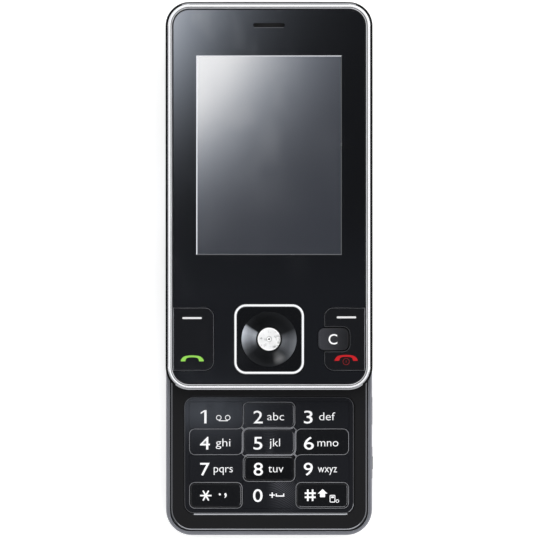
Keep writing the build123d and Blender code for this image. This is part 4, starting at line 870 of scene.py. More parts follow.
class PHONE_OT_face(bpy.types.Operator):
    """Builds the glossy face with its sunk display field"""

    bl_idname = "phone.face"
    bl_label = "Glossy face and display"

    def execute(self, context):
        look = context.scene.phone_face
        top = top_of("front_window")
        black, display = self.black(look), self.display(look)
        self.window(look, top, black, display)
        dress(display, "lcd_panel")
        self.slot_edge(top)
        gloss = polished("Glossy rocker", toned(look.face_colour, 2.0), 0.02, 0.02, IOR=1.5)
        # the rockers' bevels carry a painted highlight
        line = edge_highlight("Rocker edge", (0.42, 0.425, 0.45), 0.35, Metallic=1.0)
        for side in ("left", "right"):
            rocker = copy_node(f"{side}_rocker", f"{side}_rocker_face")
            line_edges(rocker, gloss, line, lambda c, n: bevelled(n) and c.z > top - 0.4 * MM)
            finish_piece(rocker, f"{side}_rocker_cap", "glossy_face")
            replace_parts(rocker, f"{side}_rocker")
        return {"FINISHED"}

    def window(self, look, top, black, display):
        """The face, with the display field sunk a hair and a sloped border round it."""
        face = copy_node("front_window", "glossy_face")
        half_x, half_y, centre = look.display_width / 2, look.display_length / 2, look.display_centre
        level = level_at(top)

        def in_display(c, n):
            return abs(c.x) < half_x and abs(c.y - centre) < half_y and level(c, n)

        open_mesh(face)
        cut(face, level, (-half_x, half_x), (centre - half_y, centre + half_y))
        pick_faces(face, in_display)
        bpy.ops.mesh.dissolve_faces()
        bpy.ops.mesh.inset(thickness=look.display_border, depth=-look.display_depth)
        close_mesh()
        only_material(face, black)
        sunk = top - look.display_depth

        def on_border(c, n):
            beside = abs(c.x) < half_x + MM and abs(c.y - centre) < half_y + MM
            faces_in = c.x * n.x + (c.y - centre) * n.y < 0.0
            return 0.5 < n.z < BEVEL[1] and c.z > sunk and beside and faces_in

        paint(face, level_at(sunk), 1)
        # the border is painted bright on its left and top faces, a painted highlight, and dark on its right
        # and bottom faces, a painted shade
        paint(face, lambda c, n: on_border(c, n) and (n.x > 0.1 or n.y < -0.1), 2)
        paint(face, lambda c, n: on_border(c, n) and (n.x < -0.1 or n.y > 0.1), 3)
        smooth(face, 12.0)
        bright = polished("Display border, lit", (0.62, 0.63, 0.66), 0.22, 0.05, Metallic=1.0)
        dim = polished("Display border, far", (0.10, 0.104, 0.11), 0.25, 0.05, Metallic=1.0)
        finish_piece(face, UPPER_HALF, "glossy_face", black, display, bright, dim)
        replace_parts(face, "front_window")

    def slot_edge(self, top):
        """A thin pale slab on the lower edge of the earpiece slot: a painted highlight."""
        foot = middle_of("earpiece_mesh")[1] - 0.56 * MM
        edge = slab("slot_edge", (-3.7 * MM, 3.6 * MM), (foot - 0.1 * MM, foot), top, 0.01 * MM)
        pale = grained("Slot edge", (0.075, 0.078, 0.085), 0.4, 0.1, 5000.0, 0.05, 0.03)
        finish_piece(edge, UPPER_HALF, "glossy_face", pale)

    def black(self, look):
        """The front's glossy black, a little paler round the navigation keys: a painted sheen."""
        material, graph, shader = new_material("Glossy face", IOR=1.5)
        pale = graph.spread(graph.parts(graph.where())["Y"], 0.012, 0.034, 1.0, 0.0)
        marks = graph.group(handling(), Roughness=0.02, Amount=0.02)
        tone = graph.mix(pale, four(look.face_colour), four(look.face_foot_colour))
        tone = graph.mix(marks["Mask"], tone, four([0.93] * 3), "MULTIPLY")
        graph.feed(shader, Base_Color=tone, Roughness=marks["Roughness"])
        return material

    def display(self, look):
        """The unlit display: coated glass a hair out of level with the face, and faintly bowed."""
        material, graph, shader = new_material("Unlit display", IOR=1.382)
        where = graph.where()
        parts = graph.parts(where)
        across, along = parts["X"], graph.math("SUBTRACT", parts["Y"], look.display_centre)
        # tilt, bow and twist of the glass, as slopes and slopes per metre
        slope = graph.times(across, graph.times_plus(across, -0.0258, 0.0052))
        rise = graph.times(along, graph.times_plus(along, -0.0153, 0.00175))
        slope = graph.plus(slope, graph.plus(rise, graph.times(across, along, -0.0286)))
        marks = graph.group(handling(), Roughness=0.03, Amount=0.01)
        pixels = graph.spread(graph.noise(where, 6000.0, 1.0), 0.3, 0.7, 0.94, 1.06)
        tone = graph.mix(1.0, four(look.display_colour), pixels, "MULTIPLY")
        graph.feed(shader, Base_Color=tone, Roughness=marks["Roughness"], Normal=graph.bump(slope, 1.0, 1.0))
        return material


class PHONE_OT_navigation(bpy.types.Operator):
    """Builds the navigation plate's spun disc, its bright frame and the OK key"""

    bl_idname = "phone.navigation"
    bl_label = "Navigation key"
    # the frame's steps inward and upward, as shares of its width and crown
    crown = ((0.05, 0.4), (0.08, 0.28), (0.15, 0.2), (0.22, 0.12), (0.22, -0.12), (0.15, -0.2), (0.08, -0.28),
             (0.05, -0.4))
    # painted highlight round the disc: brightness by the angle in degrees
    wedges = (
        (-180, 0.37), (-168, 0.19), (-155, 0.07), (-140, 0.018), (-100, 0.013), (-70, 0.018), (-50, 0.04),
        (-42, 0.07), (-25, 0.14), (-5, 0.16), (12, 0.09), (24, 0.018), (60, 0.014), (120, 0.010),
        (146, 0.016), (152, 0.37), (165, 0.5), (180, 0.37),
    )
    # brightness from the middle of the OK key to its rim
    key_tones = ((0.0, 0.01), (0.07, 0.02), (0.10, 1.0), (0.16, 1.0), (0.20, 0.35), (0.27, 0.84),
                 (0.82, 0.87), (0.9, 1.0), (1.0, 1.0))

    def execute(self, context):
        self.bright_frame(context)
        self.spun_disc(context)
        self.ok_key()
        return {"FINISHED"}

    def bright_frame(self, context):
        look = context.scene.phone_trim
        low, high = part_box("nav_rim")
        wide, height = look.frame_width, 0.35 * MM
        wall = high.z - low.z - height
        steps = [(0.0, wall)] + crown_steps(self.crown, wide, height) + [(0.0, -wall)]
        ring = profile_ring("nav_frame", low, high, look.frame_corner, steps)

        def on_flank(c, n):
            inside = past_rim(c, low, high, look.frame_corner)
            return c.z > low.z + 0.1 * MM and not 0.25 * wide < inside < 0.75 * wide

        # the frame's outer and inner flanks are painted darker than its crown: painted shade
        paint(ring, on_flank, 1)
        smooth(ring, 26.0)
        frame_flank_shade = polished("Pale chrome flank", toned(look.flank_colour, 1.4), 0.25, 0.03, Metallic=1.0)
        finish_piece(ring, "nav_cap", "chrome", chrome_finish(context), frame_flank_shade)
        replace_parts(ring, "nav_rim")

    def spun_disc(self, context):
        """The plate, with its field sunk a little and a round disc turned in fine rings on it."""
        plate = copy_node("nav_key", "nav_plate")
        top = top_of("nav_key")
        margin, depth = 0.12 * MM, 0.05 * MM
        open_mesh(plate)
        pick_faces(plate, level_at(top))
        bpy.ops.mesh.inset(thickness=margin, depth=0.0)
        bpy.ops.mesh.inset(thickness=margin, depth=-depth)
        close_mesh()
        black = glossy_finish(context)
        only_material(plate, black)
        paint(plate, lambda c, n: n.z > 0.8 and c.z > top - 0.08 * MM, 1)
        smooth(plate, 25.0)
        finish_piece(plate, "nav_cap", "glossy_face", black, self.disc_finish())
        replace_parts(plate, "nav_key")

    def disc_finish(self):
        """Black metal turned in fine rings, with painted highlights: wedges of brightness round the disc and
        a small fleck.
        """
        material, graph, shader = new_material("Spun black disc", Metallic=1.0)
        rings = graph.group(spun_rings(), Centre=middle_of("nav_key"), Pitch=0.11 * MM)
        radius, height = rings["Radius"], rings["Height"]
        turn = graph.math("DIVIDE", rings["Angle"], math.pi)
        cool = (0.94, 0.99, 1.08)
        stops = [((angle + 180) / 360, toned(cool, tone)) for angle, tone in self.wedges]
        lobes = graph.ramp(graph.times_plus(turn, 0.5, 0.5), stops)
        out = graph.spread(radius, 3.2 * MM, 6.6 * MM, 0.75, 1.1)
        gain = graph.times(out, graph.spread(height, 0.0, 1.0, 0.8, 1.1))
        # the fleck is a painted glint, a short streak at -62 degrees
        fleck = graph.math("POWER", graph.spread(graph.lobe(rings["Angle"], -62.0), 0.94, 1.0), 1.8)
        begin = graph.spread(radius, 3.2 * MM, 5.3 * MM)
        end = graph.spread(radius, 6.7 * MM, 5.5 * MM, 0.0, 0.17)
        tone = graph.mix(1.0, lobes, graph.times(fleck, graph.times(begin, end)), "ADD")
        tone = graph.mix(1.0, tone, gain, "MULTIPLY")
        rough = graph.spread(height, 0.0, 1.0, 0.3, 0.42)
        graph.feed(shader, Base_Color=tone, Roughness=rough, Normal=graph.bump(height, 0.12, 0.02 * MM))
        return material

    def ok_key(self):
        """Spun silver with a dark point and a ring in its middle."""
        material, graph, shader = new_material("Spun silver", Metallic=1.0)
        rings = graph.group(spun_rings(), Centre=middle_of("ok_key"), Pitch=0.16 * MM)
        # a threefold painted sheen round the key, times darker noise smudges
        lobe = graph.math("COSINE", graph.times(rings["Angle"], 3.0))
        smudge = graph.spread(graph.noise(graph.where(), 620.0, 4.0, 0.65), 0.35, 0.46, 0.45, 1.0)
        sheen_and_smudges = graph.times(graph.spread(lobe, -1.0, 1.0, 0.92, 1.0), smudge)
        reach = graph.math("DIVIDE", rings["Radius"], 2.9 * MM, clamp=True)
        ramp = graph.ramp(reach, [(place, (tone, tone, tone)) for place, tone in self.key_tones])
        tone = graph.mix(1.0, ramp, sheen_and_smudges, "MULTIPLY")
        rough = graph.spread(rings["Height"], 0.0, 1.0, 0.5, 0.6)
        normal = graph.bump(rings["Height"], 0.08, 0.02 * MM)
        graph.feed(shader, Base_Color=tone, Roughness=rough, Normal=normal)
        dress(material, "ok_key")


def flat_bar(name, across, along, z, corner=0.0):
    """A flat rounded bar between two places across and two along the phone."""
    bar = start_plate(name, *across, *along, z, corner)
    close_mesh()
    return bar


def hollow(obj, width):
    """Leaves only the border of a flat sign that is open in edit mode."""
    bpy.ops.mesh.inset(thickness=width, depth=0.0)
    bpy.ops.mesh.delete(type="FACE")
    close_mesh()
    return obj


def hoop(name, place, radius, width):
    """A flat ring."""
    return hollow(start_disc(name, place, radius, 32), width)


def thicken(obj, height):
    """Raises a flat sign into a thin slab, its top facing up."""
    open_mesh(obj)
    extrude((0.0, 0.0, height))
    close_shell()
    return obj


def slab(name, across, along, z, height, corner=0.0):
    """A thin slab that stands on a level."""
    return thicken(flat_bar(name, across, along, z, corner), height)


def lettering(body, across, baseline, size, z, height, weight=0.0):
    """A word as a thin mesh between two places across; size is the type size."""
    clear_selection()
    bpy.ops.object.text_add(location=(0.0, 0.0, 0.0))
    obj = bpy.context.active_object
    obj.data.body = body
    obj.data.size = size
    obj.data.offset = weight
    obj.data.extrude = height / 2
    obj.data.resolution_u = 4
    take(obj)
    bpy.ops.object.convert(target="MESH")
    obj = bpy.context.active_object
    open_mesh(obj)
    close_shell(merge=SAME)
    xs = [v.co.x for v in obj.data.vertices]
    wide = (across[1] - across[0]) / (max(xs) - min(xs))
    obj.scale = (wide, 1.0, 1.0)
    obj.location = (across[0] - min(xs) * wide, baseline, z + height / 2)
    return settle(obj)


def near(point, places):
    return any((point - place).length < SAME for place in places)


def carry(obj, start, goal):
    """Carries the points at one place to another, in edit mode."""
    pick(obj, "VERT", lambda vertex: near(vertex.co, [start]))
    bpy.ops.transform.translate(value=goal - start)


def strip(name, pairs, place):
    """A flat strip drawn out pair by pair: each pair is a point on its upper and on its lower edge, in mm."""
    clear_selection()
    bpy.ops.mesh.primitive_plane_add(size=MM, location=place)
    obj = settle(bpy.context.active_object)
    obj.name = name
    open_mesh(obj)
    half = 0.5 * MM
    corners = [place + Vector((side * half, end * half, 0.0)) for side in (-1, 1) for end in (1, -1)]
    rows = [[place + Vector((x * MM, y * MM, 0.0)) for x, y in pair] for pair in pairs]
    for corner, goal in zip(corners, rows[0] + rows[1]):
        carry(obj, corner, goal)
    for ends, goals in zip(rows[1:], rows[2:]):
        pick_edges(obj, lambda a, b: near(a, ends) and near(b, ends))
        aside = goals[0] - ends[0]
        extrude_edges(aside)
        carry(obj, ends[1] + aside, goals[1])
    close_mesh()
    return obj


def handset(name, place, height):
    """A handset sign: a flat arc that widens into a foot at each end."""
    pairs = (
        ((0.0, 0.0), (0.0, -0.46)),
        ((0.8, -0.03), (0.75, -0.5)),
        ((1.5, -0.12), (1.22, -0.62)),
        ((2.1, -0.32), (1.5, -0.82)),
        ((2.5, -0.66), (1.62, -1.12)),
        ((2.8, -1.12), (1.68, -1.36)),
        ((2.84, -1.46), (1.72, -1.46)),
    )
    right = strip(name, pairs, place)
    take(right)
    bpy.ops.object.duplicate()
    left = bpy.context.active_object
    open_mesh(left)
    bpy.ops.transform.resize(value=(-1.0, 1.0, 1.0), center_override=place)
    close_mesh()
    both = join(name, [right, left])
    open_mesh(both)
    close_shell(merge=SAME)
    return thicken(both, height)


class PHONE_OT_key_marks(bpy.types.Operator):
    """Puts the bars, handsets and letter on the keys under the display"""

    bl_idname = "phone.key_marks"
    bl_label = "Marks on the upper keys"
    # the middle of each soft key's bar, in mm
    bars = (("left", -18.95, 5.75), ("right", 19.06, 5.92))

    def execute(self, context):
        look = context.scene.phone_face
        z, height = top_of("left_rocker"), 0.03 * MM
        half_x, half_y, corner = 2.4, 0.24, 0.23 * MM
        grey = ink("Grey ink", toned(look.mark_colour, 0.75), 0.05)
        for side, x, y in self.bars:
            across = ((x - half_x) * MM, (x + half_x) * MM)
            along = ((y - half_y) * MM, (y + half_y) * MM)
            bar = slab(f"{side}_bar", across, along, z, height, corner)
            finish_piece(bar, f"{side}_rocker_cap", "glossy_face", grey)
        green = ink("Call green", look.call_colour, Specular_IOR_Level=0.2)
        red = ink("End red", look.end_colour, Specular_IOR_Level=0.2)
        faint = ink("Faint red", toned(look.end_colour, 0.45), Specular_IOR_Level=0.2)
        call = handset("call_handset", Vector((-18.92 * MM, -3.45 * MM, z)), height)
        finish_piece(call, "left_rocker_cap", "glossy_face", green)
        end = handset("end_handset", Vector((18.98 * MM, -3.32 * MM, z)), height)
        finish_piece(end, "right_rocker_cap", "glossy_face", red)
        switch = hoop("switch_hoop", (18.98 * MM, -4.97 * MM, z), 0.85 * MM, 0.13 * MM)
        dash = flat_bar("switch_dash", (18.92 * MM, 19.04 * MM), (-5.27 * MM, -4.67 * MM), z)
        switch = thicken(join("power_sign", [switch, dash]), height)
        finish_piece(switch, "right_rocker_cap", "glossy_face", faint)
        across, clear_top = (14.65 * MM, 16.8 * MM), top_of("clear_key")
        letter = lettering("C", across, -0.7 * MM, 3.6 * MM, clear_top, 0.02 * MM, 0.012 * MM)
        letter.name = "clear_letter"
        finish_piece(letter, "clear_cap", "satin_key", white_ink(context))
        self.satin()
        return {"FINISHED"}

    def satin(self):
        """Satin black that is a little paler towards the key's left end: a painted sheen."""
        low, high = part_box("clear_key")
        material, graph, shader = new_material("Satin key", Specular_IOR_Level=0.18)
        where = graph.where()
        pale = graph.spread(graph.parts(where)["X"], low.x, high.x, 1.0, 0.0)
        pale = graph.times(pale, graph.spread(graph.noise(where, 6000.0, 1.0), 0.3, 0.7, 0.85, 1.15))
        tone = graph.mix(pale, four((0.006, 0.0062, 0.0075)), four((0.034, 0.035, 0.041)))
        rough = graph.spread(graph.noise(where, 5000.0, 1.0), 0.3, 0.7, 0.3, 0.36)
        graph.feed(shader, Base_Color=tone, Roughness=rough)
        dress(material, "clear_key")


class PHONE_OT_number_keys(bpy.types.Operator):
    """Builds the twelve number keys and their border, with fine painted highlights on their edges"""

    bl_idname = "phone.number_keys"
    bl_label = "Number keys"
    # keys whose sheet is painted darker, a painted shade: deepest for the first, less so for the next
    dark = ("8",)
    dusky = ("6", "star", "hash")
    # the sides on which a key has a second line, a little inside its edge, painted as a highlight
    inner_sides = {"2": "right", "5": "right", "8": "left high", "star": "right", "hash": "right low"}

    def execute(self, context):
        look = context.scene.phone_keypad
        sheet = self.key_sheet(look)
        dark = grained("Dark key sheet", (0.0022, 0.0022, 0.0026), 0.03, 0.1, 5000.0, 0.01, 0.0)
        dusky = grained("Dusky key sheet", (0.0052, 0.0053, 0.006), 0.03, 0.1, 5000.0, 0.01, 0.0)
        line = edge_highlight("Key edge", look.line_colour, Metallic=0.3)
        top = top_of("key_5")
        for row in KEY_ROWS:
            for key in row:
                cap = copy_node(f"key_{key}", f"cap_{key}")
                field = dark if key in self.dark else dusky if key in self.dusky else sheet
                self.edge(cap, top, field, line)
                if key in self.inner_sides:
                    cap = self.inner_line(look, cap, key, top)
                finish_piece(cap, f"key_{key}_cap", "key_plastic")
                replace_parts(cap, f"key_{key}")
        border = copy_node("keypad_frame", "pad_border")
        # the border's bevel carries a dim painted highlight, and a paler painted highlight at the foot's
        # right
        dim = edge_highlight("Pad border edge", toned(look.line_colour, 0.35), Metallic=0.3)
        self.edge(border, top, sheet, dim)
        paint(border, lambda c, n: bevelled(n) and c.x > look.pad_half and c.y < -2.0 * look.pad_half, 2)
        finish_piece(border, LOWER_HALF, "key_plastic", sheet, dim, foot_edge_highlight(context))
        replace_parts(border, "keypad_frame")
        return {"FINISHED"}

    def edge(self, obj, top, sheet, line):
        """Puts the bright line on a key's bevel."""
        line_edges(obj, sheet, line, lambda c, n: bevelled(n) and c.z > top - 0.3 * MM)

    def inner_line(self, look, cap, key, top):
        """Adds the fine line that runs round a key a little inside its edge: a painted highlight on the
        listed sides, the key's own colour on the rest.
        """
        row = next(place for place, keys in enumerate(KEY_ROWS) if key in keys)
        column = KEY_ROWS[row].index(key)
        edges = (-look.pad_half, -look.column_half, look.column_half, look.pad_half)
        upper, gap = look.pad_top - row * look.row_pitch, look.line_gap
        lowest = Vector((edges[column] + gap, upper - look.row_pitch + gap, top - 0.02 * MM))
        highest = Vector((edges[column + 1] - gap, upper - gap, top))
        wide, wall, rise = look.line_width, 0.022 * MM, 0.016 * MM
        steps = ((0.0, wall), (0.3 * wide, rise), (0.4 * wide, 0.0), (0.3 * wide, -rise), (0.0, -wall))
        ring = profile_ring(f"line_{key}", lowest, highest, look.line_corner, steps, 8)
        faint = edge_highlight("Inner key line", toned(look.line_colour, 0.6), Metallic=0.3)
        only_material(ring, faint, cap.data.materials[0])
        sides, reach = self.inner_sides[key], 0.25 * MM

        def unlit(c, n):
            lit = (
                "right" in sides and c.x > highest.x - reach,
                "left" in sides and c.x < lowest.x + reach,
                "high" in sides and c.y > highest.y - reach,
                "low" in sides and c.y < lowest.y + reach,
            )
            return not any(lit)

        paint(ring, unlit, 1)
        return join(cap.name, [cap, ring])

    def key_sheet(self, look):
        """Smoked plastic with rings spun round a place on the phone's midline, level with the key 8; the
        bright lobes on the rings are a painted highlight.
        """
        material, graph, shader = new_material("Key sheet", IOR=1.5)
        centre = (0.0, middle_of("key_8")[1], 0.0)
        rings = graph.group(spun_rings(), Centre=centre, Pitch=look.ring_pitch)
        # painted highlight: lobes of brightness on the rings, down-right and straight up, fading away from
        # the centre
        lower = graph.math("POWER", graph.spread(graph.lobe(rings["Angle"], -57.0), 0.72, 1.0), 2.1)
        upper = graph.spread(graph.lobe(rings["Angle"], 88.0), 0.965, 1.0, 0.0, 0.3)
        close = graph.spread(rings["Radius"], 5.0 * MM, 13.5 * MM, 1.0, 0.0)
        glow = graph.times(graph.plus(lower, upper), close, graph.math("POWER", rings["Height"], 1.5))
        tone = graph.mix(glow, four(look.key_colour), four((0.075, 0.077, 0.087)))
        marks = graph.group(handling(), Roughness=0.022, Amount=0.008)
        graph.feed(shader, Base_Color=tone, Roughness=marks["Roughness"])
        return material


class PHONE_OT_lettering(bpy.types.Operator):
    """Puts the digits, letters and signs on the number keys"""

    bl_idname = "phone.lettering"
    bl_label = "Lettering of the number keys"
    # how far each row of lettering stands off its keys' middle, in mm
    nudge = (-0.22, -0.06, 0.14, 0.02)
    # key: digit's left and right in mm, letters, their left and right in mm
    plan = {
        "2": ((-3.85, -1.55), "abc", (-0.45, 3.7)),
        "3": ((8.6, 10.75), "def", (12.35, 16.3)),
        "4": ((-17.05, -14.6), "ghi", (-13.15, -9.55)),
        "5": ((-3.85, -1.65), "jkl", (0.1, 2.7)),
        "6": ((8.6, 11.05), "mno", (11.95, 17.1)),
        "7": ((-17.0, -14.65), "pqrs", (-13.65, -8.95)),
        "8": ((-3.8, -1.5), "tuv", (-0.2, 3.55)),
        "9": ((8.55, 10.8), "wxyz", (12.05, 16.75)),
        "0": ((-3.95, -1.6), None, None),
    }
    # a digit's height as a share of its type size
    digit_share = 0.72

    def execute(self, context):
        look = context.scene.phone_keypad
        self.z = top_of("key_5")
        self.height = look.ink_height
        white = white_ink(context)
        for row, keys in enumerate(KEY_ROWS):
            middle = middle_of(f"key_{keys[2]}")[1]
            base = middle - look.digit_height / 2 + self.nudge[row] * MM
            for key in keys:
                legend = join(f"legend_{key}", self.signs(key, base, look))
                finish_piece(legend, f"key_{key}_cap", "key_plastic", white)
        return {"FINISHED"}

    def word(self, body, across, base, size, weight):
        ends = [x * MM for x in across]
        return lettering(body, ends, base, size, self.z, self.height, weight)

    def bar(self, x0, x1, y0, y1):
        """A bar, its ends across in mm."""
        return slab("bar", (x0 * MM, x1 * MM), (y0, y1), self.z, self.height)

    def at(self, x, y):
        return Vector((x * MM, y, self.z))

    def signs(self, key, base, look):
        pieces = []
        if key in self.plan:
            digit, letters, span = self.plan[key]
            pieces.append(self.word(key, digit, base, look.digit_height / self.digit_share, 0.012 * MM))
            if letters:
                pieces.append(self.word(letters, span, base + 0.76 * MM, look.letter_size, -0.018 * MM))
        more = {"1": self.one, "star": self.star, "0": self.zero, "hash": self.hash_signs}.get(key)
        return pieces + (more(base) if more else [])

    def one(self, base):
        """The digit 1, and two loops on a line."""
        left, tall, flag_top = -15.98, 3.25 * MM, 2.7 * MM
        stem = self.bar(left, -15.42, base, base + tall)
        flag = self.bar(-16.85, left, base + 2.3 * MM, base + flag_top)
        open_mesh(flag)
        pick(flag, "VERT", lambda vertex: vertex.co.x > left * MM - SAME)
        bpy.ops.transform.translate(value=(0.0, tall - flag_top, 0.0))
        close_mesh()
        middles = (-12.4, -10.2)
        loops = [hoop("loop", self.at(x, base + 1.4 * MM), 0.66 * MM, 0.18 * MM) for x in middles]
        line = self.bar(*middles, base + 0.54 * MM, base + 0.74 * MM)
        return [stem, flag, *(thicken(loop, self.height) for loop in loops), line]

    def star(self, base):
        """A six-armed star, a raised dot and a comma."""
        core, arm, middle = 0.36 * MM, 1.1 * MM, self.at(-15.6, base + 1.55 * MM)
        star = start_disc("star", middle, core, 6)
        for angle in range(0, 360, 60):
            turn = math.radians(angle)
            out = Vector((math.cos(turn), math.sin(turn), 0.0))
            side = middle + out * core * math.cos(math.radians(30))
            pick_edges(star, lambda a, b: ((a + b) / 2 - side).length < 0.03 * MM)
            extrude_edges(out * arm)
        close_mesh()
        dot = start_disc("dot", self.at(-12.15, base + 1.85 * MM), 0.27 * MM, 20)
        close_mesh()
        comma = self.word(",", (-11.05, -10.45), base + 1.55 * MM, 4.6 * MM, 0.04 * MM)
        return [thicken(star, self.height), thicken(dot, self.height), comma]

    def zero(self, base):
        """A plus sign and a space bracket."""
        y = base + 1.3 * MM
        wide = self.bar(0.1, 1.45, y + 0.22 * MM, y + 0.5 * MM)
        arms = [self.bar(0.635, 0.915, y + rise * MM, y + (rise + 0.54) * MM) for rise in (-0.32, 0.5)]
        foot = self.bar(1.65, 3.75, y, y + 0.28 * MM)
        ends = [self.bar(x, x + 0.28, y + 0.28 * MM, y + 0.75 * MM) for x in (1.65, 3.47)]
        return [wide, *arms, foot, *ends]

    def hash_signs(self, base):
        """The hash sign, a solid arrow and a small sign of a sheet and a ring."""
        y, wide = base + 0.2 * MM, 0.42
        bars = [self.bar(8.8, 11.5, y + rise * MM, y + (rise + wide) * MM) for rise in (0.72, 1.72)]
        for x in (9.35, 10.53):
            for low, high in ((0.0, 0.72), (0.72 + wide, 1.72), (1.72 + wide, 2.85)):
                bars.append(self.bar(x, x + wide, y + low * MM, y + high * MM))
        pairs = (((-1.2, 0.0), (-1.2, -0.02)), ((0.0, 1.1), (0.0, -0.02)), ((1.2, 0.0), (1.2, -0.02)))
        head = strip("arrow", pairs, self.at(13.2, base + 2.05 * MM))
        stem = self.bar(12.58, 13.82, base + 1.15 * MM, base + 2.03 * MM)
        low, high = base - 0.15 * MM, base + 1.7 * MM
        sheet = hollow(start_plate("sheet", 14.95 * MM, 16.35 * MM, low, high, self.z, 0.25 * MM), 0.2 * MM)
        fill = self.bar(15.3, 16.0, base + 0.95 * MM, base + 1.35 * MM)
        ring = hoop("ring", self.at(16.85, base + 0.2 * MM), 0.42 * MM, 0.15 * MM)
        head, sheet, ring = (thicken(sign, self.height) for sign in (head, sheet, ring))
        return [*bars, head, stem, sheet, fill, ring]


class PHONE_OT_side_keys(bpy.types.Operator):
    """Finishes the keys on the two sides"""

    bl_idname = "phone.side_keys"
    bl_label = "Side keys"

    def execute(self, context):
        metal = grained("Dark metal key", (0.10, 0.10, 0.11), 0.32, 0.1, 8000.0, 0.06, 0.06, Metallic=0.8)
        dress(metal, "side_key", "camera_key", "volume_key")
        self.volume_signs(context)
        return {"FINISHED"}

    def volume_signs(self, context):
        """A plus sign and a minus sign near the ends of the volume key."""
        low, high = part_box("volume_key")
        level, long, thin, inset = (low.z + high.z) / 2, 0.6 * MM, 0.11 * MM, 2.2 * MM
        plus, minus = high.y - inset, low.y + inset
        bars = [self.bar(low.x, minus, level, long, thin), self.bar(low.x, plus, level, long, thin)]
        for side in (-1, 1):
            bars.append(self.bar(low.x, plus, level + side * (long + thin) / 2, thin, (long - thin) / 2))
        signs = join("volume_signs", bars)
        finish_piece(signs, "volume_cap", "dark_metal_key", white_ink(context))

    def bar(self, x, y, z, half_y, half_z):
        """A thin bar on the left side's upright face."""
        clear_selection()
        bpy.ops.mesh.primitive_plane_add(size=2.0, location=(x, y, z), rotation=(0.0, -math.pi / 2, 0.0))
        obj = bpy.context.active_object
        obj.scale = (half_z, half_y, 1.0)
        open_mesh(settle(obj))
        extrude((-0.015 * MM, 0.0, 0.0))
        close_shell()
        return obj


class PHONE_OT_camera(bpy.types.Operator):
    """Finishes the camera's bezel and window on the back"""

    bl_idname = "phone.camera"
    bl_label = "Camera"
    # the window's steps inward and outward, in mm
    lens_steps = ((0.9, 0.0), (0.04, -0.18), (0.5, 0.0), (0.06, 0.04), (0.25, 0.07), (0.35, 0.04),
                  (0.4, 0.02))
    # the glass's colours, and where each starts and ends from its middle outwards
    deep, pale, black = (0.006, 0.004, 0.022), (0.09, 0.092, 0.105), (0.003, 0.003, 0.004)
    lens_tones = ((0.0, deep), (0.22, black), (0.24, pale), (0.27, pale), (0.29, black), (0.53, black),
                  (0.56, pale), (0.58, pale), (0.6, black), (1.0, black))

    def execute(self, context):
        material, graph, shader = new_material("Turned aluminium", Metallic=1.0)
        centre = middle_of("camera_bezel")
        height = graph.group(spun_rings(), Centre=centre, Pitch=0.14 * MM)["Height"]
        tone = graph.mix(height, four((0.50, 0.51, 0.53)), four((0.66, 0.67, 0.69)))
        rough = graph.spread(height, 0.0, 1.0, 0.22, 0.34)
        graph.feed(shader, Base_Color=tone, Roughness=rough, Normal=graph.bump(height, 0.3, 0.02 * MM))
        dress(material, "camera_bezel")
        self.lens(centre)
        return {"FINISHED"}

    def lens(self, centre):
        """The window, stepped in round a small domed lens."""
        window = copy_node("camera_window", "lens_window")
        open_mesh(window)
        pick_faces(window, level_at(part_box("camera_window")[0].z, -1))
        bpy.ops.mesh.dissolve_faces()
        for inward, outward in self.lens_steps:
            bpy.ops.mesh.inset(thickness=inward * MM, depth=outward * MM)
        close_mesh()
        material, graph, shader = new_material("Lens glass", Roughness=0.02, IOR=1.5, Coat_Weight=1.0)
        radius = graph.group(spun_rings(), Centre=centre, Pitch=0.2 * MM)["Radius"]
        reach = graph.math("DIVIDE", radius, 3.5 * MM, clamp=True)
        graph.feed(shader, Base_Color=graph.ramp(reach, self.lens_tones))
        finish_piece(window, LOWER_HALF, "lens_glass", material)
        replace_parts(window, "camera_window")


